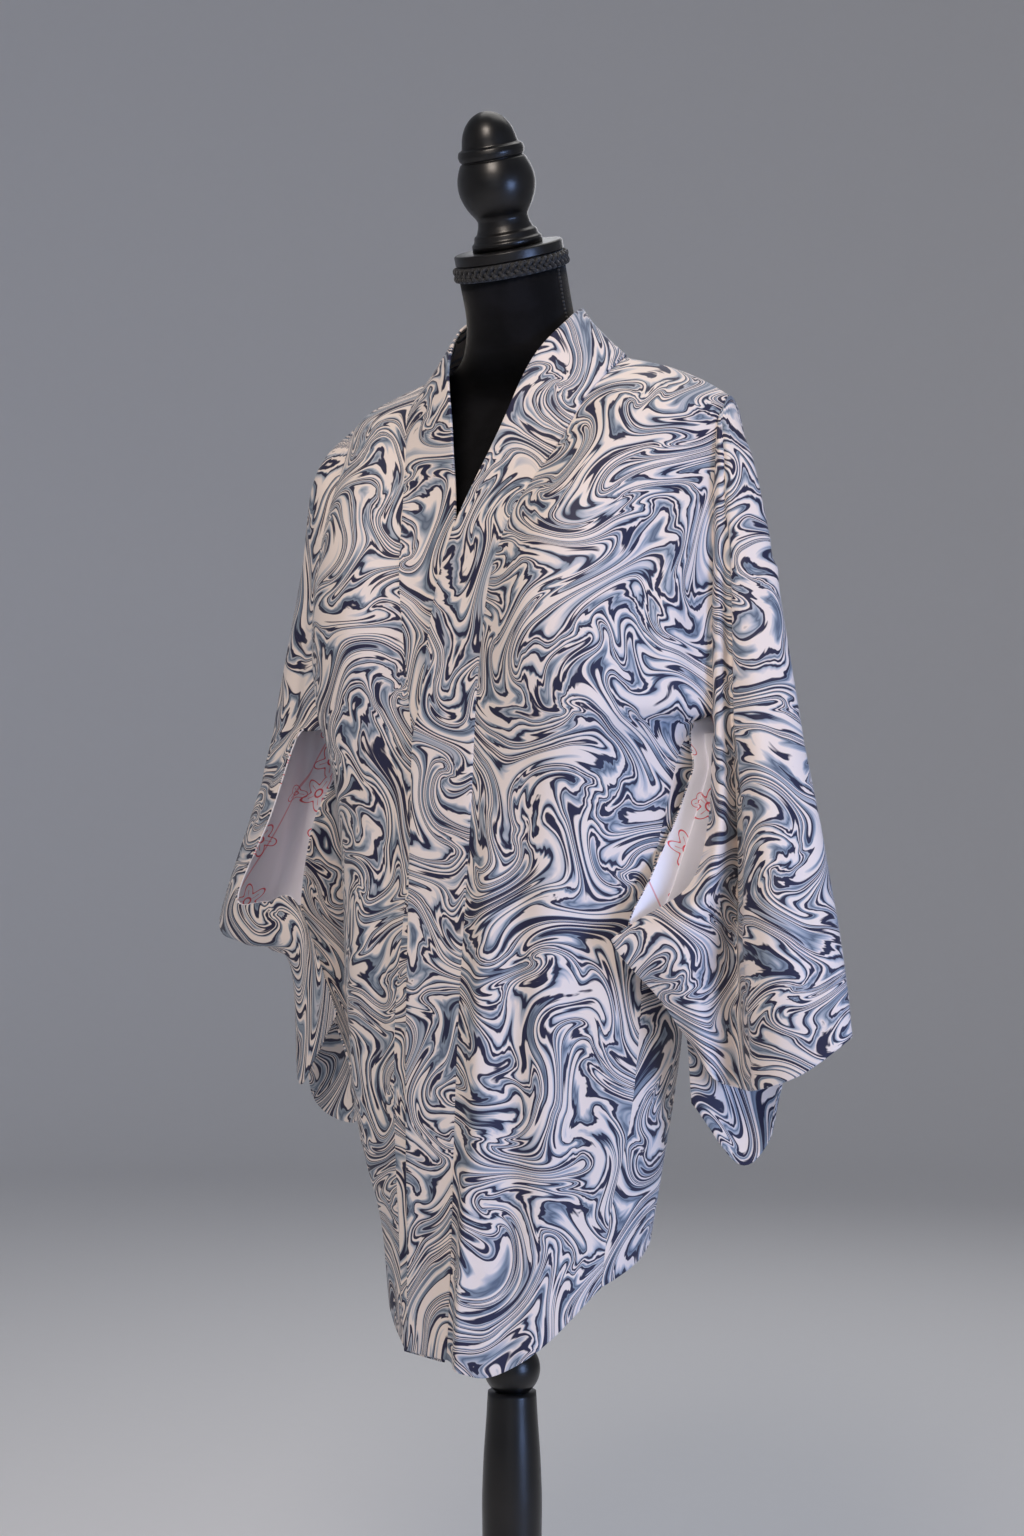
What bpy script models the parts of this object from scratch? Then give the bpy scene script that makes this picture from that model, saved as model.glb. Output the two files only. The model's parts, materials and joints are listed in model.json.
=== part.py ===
"""A haori jacket worn by a limbless dress form on a turned stand, in metres, +Z up.

The origin is the middle of the stand's foot, on the floor. The jacket's front faces -Y and the
wearer's left is +X. Cloth pieces are walls: each starts as a smooth grid of points on its inner
face, worked out from a short table of sections or folds, and is thickened outwards.
"""

import math
from collections.abc import Sequence
from typing import NamedTuple

import bpy
import numpy as np

# Driving dimensions, in metres.
CLOTH = 0.0020  # silk and its lining together
BAND_CLOTH = 0.0030  # the collar is folded double
LINING_CLOTH = 0.0010
SEAM_GAP = 0.0004  # between cloth pieces at a seam
COLLAR_GAP = 0.0009
BACK_SEAM = 0.0003  # half the gap at the middle of the back
BAND_LIFT = 0.0022  # the left band lies over the right one: each is moved by this much
LINING_GAP = 0.0010
LINED_ROWS = {"left": slice(7, 15), "right": slice(7, 13)}  # of the sleeve's grid, down to the tip
LINED_FOLDS = slice(9, -1)
LAP_TOP = 1.300  # the bands lie over each other below this height
LAP_FADE = 0.060

FOOT_RADIUS = 0.175
FOOT_HEIGHT = 0.030
COLUMN_BOTTOM = 0.0423
BALL_MIDDLE = 0.464
BALL_RADIUS = 0.026
POST_RADIUS = 0.0125
TORSO_BOTTOM = 0.735
NECK_TOP = 1.471
NECK_TILT = math.radians(18.0)  # the neck cap leans forward
NECK_MIDDLE_Y = 0.001
TRIM_HEIGHT = 0.014
CAP_RADIUS = 0.0505
CAP_HEIGHT = 0.010
NECK_HALF = (0.0500, 0.0480)  # of the neck's sloped top, across and deep
ROUND = 24  # facets around a turned piece
TORSO_ROUND = 28
TOUCH = 0.0003  # clearance between pieces that touch


class Section(NamedTuple):
    """One section across a body strip, from its inner edge to its side edge.

    The heights run straight from z_in to z_out, less sag in the middle. y_a is the depth at 36% of the
    way across, and y_b the depth at share_b of it.
    """

    place: str
    z_in: float
    z_out: float
    sag: float
    x_in: float
    x_in_right: float
    y_in: float
    y_a: float
    y_b: float
    x_out: float
    y_out: float
    share_b: float = 0.70


SECTIONS = (
    Section("front hem", 0.503, 0.545, 0.026, 0.005, 0.043, -0.108, -0.102, -0.074, 0.115, -0.028),
    Section("front thigh", 0.600, 0.622, 0.010, 0.010, 0.046, -0.108, -0.099, -0.073, 0.124, -0.026),
    Section("front seat", 0.700, 0.705, 0.003, 0.016, 0.047, -0.112, -0.103, -0.078, 0.146, -0.028),
    Section("front hip", 0.800, 0.800, 0.000, 0.021, 0.046, -0.112, -0.106, -0.082, 0.162, -0.036),
    Section("front belly", 0.895, 0.890, 0.000, 0.026, 0.038, -0.109, -0.106, -0.085, 0.166, -0.034),
    Section("front waist", 0.975, 0.965, 0.000, 0.030, 0.032, -0.106, -0.104, -0.086, 0.176, -0.022),
    Section("front gather", 1.040, 1.030, 0.000, 0.033, 0.033, -0.105, -0.108, -0.092, 0.189, -0.006),
    Section("front underarm", 1.075, 1.064, 0.0, 0.036, 0.036, -0.106, -0.113, -0.094, 0.211, 0.004, 0.66),
    Section("front bust", 1.130, 1.130, 0.000, 0.042, 0.042, -0.106, -0.121, -0.091, 0.2105, 0.006),
    Section("front upper bust", 1.190, 1.190, 0.000, 0.050, 0.050, -0.102, -0.114, -0.083, 0.2095, 0.009),
    Section("front chest", 1.245, 1.250, 0.000, 0.061, 0.061, -0.083, -0.094, -0.065, 0.2085, 0.013),
    Section("front collarbone", 1.302, 1.298, -0.004, 0.083, 0.083, -0.048, -0.052, -0.031, 0.2075, 0.019),
    Section("front shoulder", 1.348, 1.330, -0.006, 0.097, 0.097, -0.022, -0.014, -0.002, 0.2055, 0.029),
    Section("shoulder ridge", 1.386, 1.347, -0.006, 0.100, 0.100, 0.030, 0.042, 0.046, 0.2030, 0.046),
    Section("back shoulder", 1.385, 1.330, -0.006, 0.080, 0.080, 0.060, 0.074, 0.074, 0.2035, 0.063),
    Section("back neck", 1.380, 1.290, -0.006, 0.046, 0.046, 0.078, 0.098, 0.092, 0.2050, 0.072),
    Section("back yoke", 1.375, 1.240, -0.008, 0.0003, 0.0003, 0.086, 0.108, 0.100, 0.2070, 0.076),
    Section("shoulder blades", 1.290, 1.180, -0.004, 0.0003, 0.0003, 0.110, 0.120, 0.106, 0.2085, 0.074),
    Section("back bust", 1.170, 1.120, 0.000, 0.0003, 0.0003, 0.114, 0.121, 0.104, 0.2100, 0.068),
    Section("back underarm", 1.085, 1.064, 0.000, 0.0003, 0.0003, 0.115, 0.120, 0.101, 0.2110, 0.056),
    Section("back gather", 1.035, 1.030, 0.000, 0.0003, 0.0003, 0.116, 0.119, 0.096, 0.1840, 0.036),
    Section("back waist", 0.970, 0.965, 0.000, 0.0003, 0.0003, 0.117, 0.117, 0.092, 0.1730, 0.030),
    Section("back belly", 0.895, 0.890, 0.000, 0.0003, 0.0003, 0.121, 0.118, 0.091, 0.1720, 0.026),
    Section("back hip", 0.810, 0.805, 0.000, 0.0003, 0.0003, 0.126, 0.120, 0.091, 0.1680, 0.026),
    Section("back seat", 0.740, 0.730, 0.000, 0.0003, 0.0003, 0.129, 0.121, 0.092, 0.1560, 0.030),
    Section("back thigh", 0.680, 0.660, 0.000, 0.0003, 0.0003, 0.130, 0.121, 0.091, 0.1410, 0.033),
    Section("back hem", 0.640, 0.590, 0.004, 0.0003, 0.0003, 0.130, 0.119, 0.088, 0.1270, 0.034),
)
# The sections that differ on the wearer's right, mirrored.
RIGHT_SECTIONS = {
    "front hem": Section(
        "front hem", 0.506, 0.572, -0.003, 0.005, 0.040, -0.107, -0.098, -0.072, 0.112, -0.028
    ),
    "front thigh": Section(
        "front thigh", 0.600, 0.628, 0.006, 0.010, 0.045, -0.108, -0.098, -0.072, 0.117, -0.026
    ),
    "front shoulder": Section(
        "front shoulder", 1.348, 1.336, -0.006, 0.097, 0.097, -0.022, -0.014, -0.002, 0.206, 0.029
    ),
    "shoulder ridge": Section(
        "shoulder ridge", 1.386, 1.353, -0.005, 0.100, 0.100, 0.030, 0.042, 0.046, 0.205, 0.046
    ),
    "back shoulder": Section(
        "back shoulder", 1.385, 1.336, -0.006, 0.080, 0.080, 0.060, 0.074, 0.074, 0.204, 0.063
    ),
}
SIDE_ROWS = 6  # spans of the table between the hem and the underarm, at each end


# The free edge of the left band, a point for each body section as far as the middle of the back.
LEFT_BAND_FREE = {
    "hem": (-0.0340, -0.1095, 0.503),
    "thigh": (-0.0330, -0.1105, 0.600),
    "seat": (-0.0320, -0.1140, 0.700),
    "hip": (-0.0310, -0.1145, 0.800),
    "belly": (-0.0305, -0.1120, 0.895),
    "waist": (-0.0300, -0.1095, 0.975),
    "gather": (-0.0285, -0.1085, 1.040),
    "underarm": (-0.0190, -0.1085, 1.080),
    "bust": (-0.0120, -0.1070, 1.135),
    "upper bust": (-0.0040, -0.0985, 1.195),
    "crossing": (0.0065, -0.0820, 1.248),
    "collarbone": (0.0265, -0.0560, 1.318),
    "front neck": (0.0470, -0.0330, 1.384),
    "side neck": (0.0600, 0.0060, 1.424),
    "back corner": (0.0490, 0.0400, 1.437),
    "back neck": (0.0300, 0.0640, 1.439),
    "middle": (0.0000, 0.0730, 1.439),
}
# The right one where it differs, mirrored: below the crossing it runs on under the left one.
RIGHT_BAND_FREE = {
    "hem": (-0.0010, -0.1080, 0.500),
    "thigh": (-0.0030, -0.1080, 0.600),
    "seat": (-0.0020, -0.1120, 0.700),
    "hip": (-0.0030, -0.1120, 0.800),
    "belly": (-0.0110, -0.1090, 0.895),
    "waist": (-0.0170, -0.1060, 0.975),
    "gather": (-0.0160, -0.1050, 1.040),
    "underarm": (-0.0130, -0.1050, 1.078),
    "bust": (-0.0080, -0.1030, 1.135),
    "upper bust": (0.0010, -0.0950, 1.195),
    "crossing": (0.0075, -0.0790, 1.248),
}

Fold = tuple[tuple[float, float, float], ...]

# Each fold of the left sleeve from the shoulder down: top, drop, upper arm, underarm, gather, mouth,
# bend, tip, lower, foot.
LEFT_SLEEVE: dict[str, Fold] = {
    "front edge": (
        (0.2085, 0.0320, 1.331), (0.2115, 0.0180, 1.285), (0.2150, 0.0092, 1.200),
        (0.2180, 0.0020, 1.066), (0.2185, -0.0040, 1.034), (0.2205, -0.0140, 0.970),
        (0.2120, -0.0330, 0.913), (0.1705, -0.0765, 0.867), (0.1980, -0.0560, 0.815),
        (0.2240, -0.0340, 0.766),
    ),
    "strip": (
        (0.2105, 0.0340, 1.333), (0.2170, 0.0110, 1.285), (0.2200, 0.0020, 1.200),
        (0.2250, -0.0060, 1.067), (0.2290, -0.0110, 1.034), (0.2380, -0.0230, 0.970),
        (0.2360, -0.0380, 0.914), (0.2240, -0.0580, 0.868), (0.2280, -0.0460, 0.812),
        (0.2360, -0.0330, 0.748),
    ),
    "valley": (
        (0.2110, 0.0360, 1.335), (0.2190, 0.0140, 1.285), (0.2260, 0.0070, 1.200),
        (0.2290, 0.0080, 1.068), (0.2300, 0.0100, 1.034), (0.2325, 0.0140, 0.970),
        (0.2350, 0.0100, 0.915), (0.2370, 0.0030, 0.866), (0.2395, 0.0020, 0.804),
        (0.2425, 0.0000, 0.738),
    ),
    "ridge": (
        (0.2110, 0.0380, 1.337), (0.2240, 0.0130, 1.285), (0.2330, 0.0030, 1.200),
        (0.2400, -0.0060, 1.068), (0.2440, -0.0090, 1.034), (0.2530, -0.0160, 0.970),
        (0.2600, -0.0250, 0.915), (0.2655, -0.0340, 0.867), (0.2710, -0.0310, 0.804),
        (0.2750, -0.0270, 0.741),
    ),
    "panel": (
        (0.2110, 0.0420, 1.340), (0.2290, 0.0200, 1.286), (0.2460, 0.0100, 1.200),
        (0.2660, -0.0020, 1.068), (0.2740, -0.0080, 1.034), (0.2910, -0.0200, 0.970),
        (0.3010, -0.0270, 0.917), (0.3095, -0.0330, 0.870), (0.3160, -0.0300, 0.814),
        (0.3200, -0.0260, 0.758),
    ),
    "outer": (
        (0.2110, 0.0460, 1.342), (0.2330, 0.0320, 1.287), (0.2550, 0.0290, 1.200),
        (0.2850, 0.0220, 1.068), (0.2930, 0.0190, 1.034), (0.3110, 0.0130, 0.970),
        (0.3230, 0.0100, 0.917), (0.3350, 0.0060, 0.868), (0.3430, 0.0060, 0.825),
        (0.3470, 0.0060, 0.788),
    ),
    "far back": (
        (0.2110, 0.0500, 1.341), (0.2210, 0.0490, 1.287), (0.2370, 0.0540, 1.200),
        (0.2610, 0.0500, 1.068), (0.2680, 0.0490, 1.034), (0.2820, 0.0460, 0.970),
        (0.2920, 0.0450, 0.917), (0.3000, 0.0440, 0.867), (0.2860, 0.0450, 0.812),
        (0.2560, 0.0400, 0.745),
    ),
    "low back": (
        (0.2105, 0.0540, 1.338), (0.2140, 0.0600, 1.286), (0.2240, 0.0680, 1.200),
        (0.2450, 0.0670, 1.068), (0.2490, 0.0660, 1.034), (0.2570, 0.0630, 0.970),
        (0.2630, 0.0610, 0.915), (0.2680, 0.0580, 0.860), (0.2640, 0.0480, 0.786),
        (0.2560, 0.0330, 0.697),
    ),
    "near back": (
        (0.2095, 0.0580, 1.335), (0.2105, 0.0690, 1.285), (0.2170, 0.0740, 1.200),
        (0.2240, 0.0640, 1.068), (0.2200, 0.0460, 1.034), (0.2180, 0.0330, 0.970),
        (0.2170, 0.0220, 0.915), (0.2170, 0.0180, 0.860), (0.2230, 0.0190, 0.772),
        (0.2310, 0.0200, 0.668),
    ),
    "back edge": (
        (0.2070, 0.0620, 1.331), (0.2085, 0.0740, 1.285), (0.2130, 0.0770, 1.200),
        (0.2160, 0.0580, 1.066), (0.2020, 0.0080, 1.034), (0.1860, -0.0150, 0.970),
        (0.1790, -0.0430, 0.922), (0.1735, -0.0700, 0.869), (0.2060, -0.0380, 0.805),
        (0.1990, -0.0090, 0.722),
    ),
}
# The right sleeve, mirrored, hangs another way: its mouth has a level lip, and its lower corner folds
# forward: top, drop, upper arm, underarm, mouth, corner, lip, lip end, foot.
RIGHT_SLEEVE: dict[str, Fold] = {
    "front edge": (
        (0.2090, 0.0320, 1.337), (0.2120, 0.0160, 1.285), (0.2155, 0.0088, 1.200),
        (0.2200, 0.0010, 1.066), (0.2480, -0.0070, 1.048), (0.2640, -0.0300, 0.970),
        (0.2950, -0.0420, 0.890), (0.2540, -0.0480, 0.887), (0.2170, -0.0460, 0.886),
        (0.1780, -0.0340, 0.784),
    ),
    "inner front": (
        (0.2105, 0.0340, 1.339), (0.2200, 0.0080, 1.285), (0.2210, 0.0030, 1.200),
        (0.2280, -0.0020, 1.070), (0.2540, -0.0080, 1.044), (0.2760, -0.0260, 0.970),
        (0.3060, -0.0400, 0.882), (0.2640, -0.0500, 0.868), (0.2080, -0.0500, 0.862),
        (0.2020, -0.0360, 0.742),
    ),
    "middle front": (
        (0.2115, 0.0370, 1.342), (0.2250, 0.0050, 1.285), (0.2320, 0.0020, 1.200),
        (0.2440, -0.0010, 1.072), (0.2600, -0.0050, 1.042), (0.2880, -0.0180, 0.970),
        (0.3170, -0.0340, 0.874), (0.2760, -0.0480, 0.850), (0.2160, -0.0480, 0.840),
        (0.2290, -0.0280, 0.718),
    ),
    "fold": (
        (0.2125, 0.0400, 1.345), (0.2340, 0.0080, 1.293), (0.2460, 0.0040, 1.200),
        (0.2620, 0.0030, 1.072), (0.2720, 0.0010, 1.042), (0.2990, -0.0100, 0.970),
        (0.3280, -0.0260, 0.868), (0.2900, -0.0400, 0.850), (0.2400, -0.0440, 0.844),
        (0.2310, -0.0310, 0.824),
    ),
    "lap": (
        (0.2135, 0.0420, 1.347), (0.2400, 0.0130, 1.298), (0.2540, 0.0080, 1.200),
        (0.2740, 0.0070, 1.072), (0.2820, 0.0060, 1.042), (0.3070, -0.0040, 0.970),
        (0.3340, -0.0190, 0.868), (0.3040, -0.0320, 0.860), (0.2700, -0.0380, 0.856),
        (0.2590, -0.0350, 0.843),
    ),
    "flap": (
        (0.2140, 0.0440, 1.349), (0.2440, 0.0200, 1.302), (0.2570, 0.0140, 1.200),
        (0.2830, 0.0120, 1.072), (0.2890, 0.0110, 1.042), (0.3090, 0.0020, 0.970),
        (0.3310, -0.0130, 0.868), (0.3200, -0.0220, 0.866), (0.3050, -0.0270, 0.864),
        (0.2870, -0.0300, 0.860),
    ),
    "outer": (
        (0.2140, 0.0470, 1.350), (0.2470, 0.0300, 1.304), (0.2630, 0.0270, 1.200),
        (0.2930, 0.0250, 1.072), (0.2995, 0.0230, 1.042), (0.3175, 0.0160, 0.970),
        (0.3370, 0.0060, 0.880), (0.3420, 0.0040, 0.868), (0.3460, 0.0040, 0.859),
        (0.3500, 0.0060, 0.851),
    ),
    "far back": (
        (0.2130, 0.0510, 1.349), (0.2380, 0.0480, 1.300), (0.2520, 0.0520, 1.200),
        (0.2830, 0.0540, 1.072), (0.2900, 0.0530, 1.042), (0.3060, 0.0500, 0.970),
        (0.3200, 0.0460, 0.880), (0.3200, 0.0460, 0.868), (0.3180, 0.0460, 0.856),
        (0.3140, 0.0460, 0.842),
    ),
    "turned back": (
        (0.2120, 0.0530, 1.347), (0.2290, 0.0560, 1.287), (0.2430, 0.0630, 1.200),
        (0.2660, 0.0630, 1.072), (0.2720, 0.0620, 1.042), (0.2840, 0.0590, 0.970),
        (0.2940, 0.0540, 0.880), (0.2910, 0.0510, 0.860), (0.2850, 0.0460, 0.838),
        (0.2690, 0.0320, 0.795),
    ),
    "low back": (
        (0.2110, 0.0550, 1.345), (0.2240, 0.0640, 1.286), (0.2360, 0.0710, 1.200),
        (0.2490, 0.0680, 1.072), (0.2530, 0.0660, 1.042), (0.2620, 0.0600, 0.970),
        (0.2700, 0.0520, 0.880), (0.2680, 0.0480, 0.850), (0.2640, 0.0420, 0.815),
        (0.2530, 0.0200, 0.698),
    ),
    "near back": (
        (0.2095, 0.0580, 1.342), (0.2175, 0.0710, 1.285), (0.2240, 0.0760, 1.200),
        (0.2290, 0.0660, 1.070), (0.2270, 0.0560, 1.040), (0.2240, 0.0300, 0.970),
        (0.2220, 0.0140, 0.880), (0.2190, 0.0120, 0.850), (0.2140, 0.0110, 0.815),
        (0.1970, 0.0020, 0.677),
    ),
    "back edge": (
        (0.2075, 0.0620, 1.337), (0.2110, 0.0765, 1.285), (0.2140, 0.0790, 1.200),
        (0.2165, 0.0590, 1.066), (0.2150, 0.0300, 1.036), (0.2190, -0.0160, 0.970),
        (0.2180, -0.0380, 0.895), (0.2140, -0.0370, 0.868), (0.2080, -0.0330, 0.836),
        (0.1700, -0.0140, 0.712),
    ),
}

# Half width, middle y, front depth and back depth of the form at each height.
TORSO = (
    (0.735, 0.118, 0.010, 0.082, 0.092),
    (0.745, 0.130, 0.010, 0.090, 0.100),
    (0.790, 0.141, 0.008, 0.096, 0.106),
    (0.860, 0.143, 0.006, 0.094, 0.100),
    (0.930, 0.131, 0.006, 0.088, 0.092),
    (0.995, 0.120, 0.006, 0.084, 0.086),
    (1.060, 0.129, 0.006, 0.092, 0.090),
    (1.120, 0.141, 0.004, 0.102, 0.096),
    (1.165, 0.145, 0.004, 0.098, 0.100),
    (1.215, 0.149, 0.010, 0.082, 0.098),
    (1.262, 0.161, 0.020, 0.064, 0.086),
    (1.304, 0.173, 0.032, 0.048, 0.068),
    (1.334, 0.181, 0.042, 0.036, 0.050),
    (1.351, 0.182, 0.046, 0.027, 0.038),
    (1.3620, 0.172, 0.045, 0.024, 0.030),
    (1.3700, 0.148, 0.041, 0.026, 0.030),
    (1.3785, 0.113, 0.035, 0.031, 0.034),
    (1.3890, 0.078, 0.026, 0.038, 0.044),
    (1.4030, 0.058, 0.018, 0.044, 0.048),
    (1.430, 0.0505, 0.013, 0.046, 0.050),
)

MATERIALS = {
    "haori_cloth": ((0.74, 0.70, 0.69), 0.62, 0.0),
    "sleeve_lining": ((0.86, 0.83, 0.88), 0.40, 0.0),
    "black_velvet": ((0.012, 0.012, 0.014), 0.90, 0.0),
    "black_braid": ((0.020, 0.020, 0.022), 0.80, 0.0),
    "black_wood": ((0.022, 0.021, 0.022), 0.38, 0.0),
}


def clear_scene() -> None:
    """Remove every object of the scene."""
    for obj in list(bpy.data.objects):
        bpy.data.objects.remove(obj, do_unlink=True)


def material(name: str) -> bpy.types.Material:
    """Return the material of this name, made on first use."""
    found = bpy.data.materials.get(name)
    if found:
        return found
    colour, roughness, metallic = MATERIALS[name]
    made = bpy.data.materials.new(name)
    made.use_nodes = True
    shader = made.node_tree.nodes["Principled BSDF"]
    shader.inputs["Base Color"].default_value = (*colour, 1.0)
    shader.inputs["Roughness"].default_value = roughness
    shader.inputs["Metallic"].default_value = metallic
    return made


def add_mesh(name: str, points: np.ndarray, faces: Sequence[Sequence[int]], finish: str) -> None:
    """Add one named object made of these points and faces."""
    mesh = bpy.data.meshes.new(name)
    mesh.from_pydata(points.reshape(-1, 3).tolist(), [], [list(face) for face in faces])
    mesh.materials.append(material(finish))
    mesh.shade_smooth()
    mesh.update()
    obj = bpy.data.objects.new(name, mesh)
    bpy.context.scene.collection.objects.link(obj)


def smooth(control: np.ndarray, steps: int) -> np.ndarray:
    """A smooth curve through the first axis of control, with so many steps in each span.

    Each span is the Catmull-Rom cubic: p1 + t/2 (p2 - p0) + t^2/2 (2 p0 - 5 p1 + 4 p2 - p3)
    + t^3/2 (3 p1 - p0 - 3 p2 + p3), with the ends repeated straight on.
    """
    ends = [2 * control[0] - control[1], control, 2 * control[-1] - control[-2]]
    held = np.concatenate([ends[0][None], ends[1], ends[2][None]])
    spans = len(control) - 1
    at = np.linspace(0, spans, spans * steps + 1)
    span = np.minimum(at.astype(int), spans - 1)
    t = (at - span).reshape((-1,) + (1,) * (control.ndim - 1))
    p0, p1, p2, p3 = held[span], held[span + 1], held[span + 2], held[span + 3]
    return (
        p1
        + 0.5 * t * (p2 - p0)
        + 0.5 * t**2 * (2 * p0 - 5 * p1 + 4 * p2 - p3)
        + 0.5 * t**3 * (3 * p1 - p0 - 3 * p2 + p3)
    )


def surface(control: np.ndarray, down: int, across: int) -> np.ndarray:
    """A smooth grid through a lattice of points, with so many steps in each span both ways."""
    rows = smooth(control, down)
    return np.swapaxes(smooth(np.swapaxes(rows, 0, 1), across), 0, 1)


def unit(vectors: np.ndarray) -> np.ndarray:
    """The vectors at length 1."""
    return vectors / np.maximum(np.linalg.norm(vectors, axis=-1, keepdims=True), 1e-12)


def normals(grid: np.ndarray) -> np.ndarray:
    """The grid's normals: the cross product of its steps across and down."""
    return unit(np.cross(np.gradient(grid, axis=1), np.gradient(grid, axis=0)))


def wall_faces(rows: int, columns: int) -> list[tuple[int, int, int, int]]:
    """The quads of a closed wall whose inner points come first and outer points second."""
    index = np.arange(rows * columns).reshape(rows, columns)
    a, b = index[:-1, :-1].ravel(), index[:-1, 1:].ravel()
    c, d = index[1:, 1:].ravel(), index[1:, :-1].ravel()
    out = rows * columns
    faces = list(zip(a, b, c, d)) + list(zip(a + out, d + out, c + out, b + out))
    rim = np.concatenate([index[0, :-1], index[:-1, -1], index[-1, :0:-1], index[:0:-1, 0]])
    after = np.roll(rim, -1)
    faces += list(zip(rim, rim + out, after + out, after))
    return [tuple(int(i) for i in face) for face in faces]


def add_wall(
    name: str, grid: np.ndarray, out: np.ndarray, near: float, far: float, finish: str
) -> None:
    """Add a cloth wall that lies between near and far along the outward directions of a grid."""
    points = np.concatenate([(grid + out * near).reshape(-1, 3), (grid + out * far).reshape(-1, 3)])
    faces = wall_faces(*grid.shape[:2])
    mirrored = np.einsum("ijk,ijk->", normals(grid), out) > 0
    if mirrored:
        faces = [face[::-1] for face in faces]
    add_mesh(name, points, faces, finish)


def side_sign(side: str) -> float:
    """+1 for the wearer's left, -1 for the right."""
    return 1.0 if side == "left" else -1.0


def body_lattice(side: str) -> np.ndarray:
    """The control points of one body strip: a row for each section, four points across."""
    rows = []
    for row in SECTIONS:
        if side == "right":
            row = RIGHT_SECTIONS.get(row.place, row)
        x_in = row.x_in if side == "left" else row.x_in_right
        across = np.array([0.0, 0.36, row.share_b, 1.0])
        x = x_in + (row.x_out - x_in) * across
        y = np.array([row.y_in, row.y_a, row.y_b, row.y_out])
        z = row.z_in + (row.z_out - row.z_in) * across - row.sag * 4 * across * (1 - across)
        rows.append(np.stack([x * side_sign(side), y, z], axis=1))
    return np.array(rows)


def outward(grid: np.ndarray, side: float) -> np.ndarray:
    """The grid's normals, turned away from the body on this side."""
    return normals(grid) * side


def body_grid(side: str) -> tuple[np.ndarray, np.ndarray]:
    """The inner face of a body strip and its outward directions."""
    grid = surface(body_lattice(side), 2, 3)
    sign = side_sign(side)
    clear = sign * np.maximum(grid[..., 0] * sign, BACK_SEAM)
    grid[..., 0] = np.where(grid[..., 1] > 0.05, clear, grid[..., 0])
    out = outward(grid, sign)
    out[:, 0, 0] = sign * np.maximum(out[:, 0, 0] * sign, 0.0)
    return grid, unit(out)


def add_body(side: str) -> None:
    """Add one body strip, from the front hem over the shoulder to the back hem."""
    grid, out = body_grid(side)
    add_wall(f"body_{side}", grid, out, 0.0, CLOTH, "haori_cloth")


def add_gusset(side: str) -> None:
    """Add the narrow strip between front and back, from the underarm to the hem."""
    grid, out = body_grid(side)
    rows = SIDE_ROWS * 2 + 1
    front, back = grid[:rows, -1], grid[::-1][:rows, -1]
    front_out, back_out = out[:rows, -1], out[::-1][:rows, -1]
    share = np.array([0.0, 0.33, 0.67, 1.0])[None, :, None]
    ends = unit(back - front)[:, None]
    edge_gap = SEAM_GAP * (1 - 2 * share)
    between = front[:, None] * (1 - share) + back[:, None] * share + ends * edge_gap
    away = unit(front_out[:, None] * (1 - share) + back_out[:, None] * share)
    width = np.linalg.norm(back - front, axis=1)[:, None, None]
    bulge = 0.10 * width * 4 * share * (1 - share)
    add_wall(f"gusset_{side}", between + away * bulge, away, 0.0, CLOTH, "haori_cloth")


def collar_line() -> tuple[np.ndarray, np.ndarray, np.ndarray]:
    """The collar's sewn edge and free edge from the left hem round the neck to the right hem.

    The sewn edge is the inner edge of the two body strips; their outward directions come third.
    """
    edges, outs = [], []
    rows = (len(LEFT_BAND_FREE) - 1) * 2 + 1
    for side in ("left", "right"):
        grid, out = body_grid(side)
        edges.append(grid[:rows, 0])
        outs.append(out[:rows, 0])
    sewn = np.concatenate([edges[0], edges[1][-2::-1]])
    sewn[rows - 1, 0] = 0.0
    panel_out = np.concatenate([outs[0], outs[1][-2::-1]])
    free_left = np.array(list(LEFT_BAND_FREE.values()))
    free_right = np.array([RIGHT_BAND_FREE.get(place, point) for place, point in LEFT_BAND_FREE.items()])
    free = np.concatenate([free_left, (free_right * [-1.0, 1.0, 1.0])[-2::-1]])
    return sewn, smooth(free, 2), panel_out


def add_collar() -> None:
    """Add the collar: one long folded band, the left end lying over the right.

    Along the fronts it meets the body strip's edge. Where it stands up from the shoulder it starts
    above the strip's outer face instead.
    """
    sewn, free, panel_out = collar_line()
    across = unit(free - sewn)
    rise = np.clip(1.6 * np.einsum("ij,ij->i", across, panel_out), 0.0, 1.0)[:, None]
    start = sewn + across * COLLAR_GAP + panel_out * rise * (CLOTH + SEAM_GAP)
    grid = surface(np.stack([start, (start + free) / 2, free], axis=1), 1, 1)
    out = normals(grid)
    if out[0, 1, 1] > 0:
        out = -out
    out[:, 0] = unit(out[:, 0] * (0.1 + rise) + panel_out * (1 - rise))
    half = len(grid) // 2
    to_free = np.linspace(0.0, 1.0, grid.shape[1])[None, :, None]
    lap = np.clip((LAP_TOP - grid[:, :, 2:]) / LAP_FADE, 0, 1)
    over = np.where(np.arange(len(grid))[:, None, None] < half, BAND_LIFT, -BAND_LIFT)
    grid = grid + out * over * lap * to_free ** 0.5
    add_wall("collar", grid, out, 0.0, BAND_CLOTH, "haori_cloth")


def sleeve_grid(side: str) -> tuple[np.ndarray, np.ndarray]:
    """The inner face of a sleeve and its outward directions: a row for each level, a column each fold."""
    table = LEFT_SLEEVE if side == "left" else RIGHT_SLEEVE
    control = np.swapaxes(np.array(list(table.values())), 0, 1)
    control[..., 0] *= side_sign(side)
    grid = surface(control, 2, 2)
    return grid, -outward(grid, side_sign(side))


def add_sleeve(side: str) -> None:
    """Add one sleeve: a folded bag that is open at the armhole, along its inner edge and at the cuff."""
    grid, out = sleeve_grid(side)
    add_wall(f"sleeve_{side}", grid, out, 0.0, CLOTH, "haori_cloth")


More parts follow.
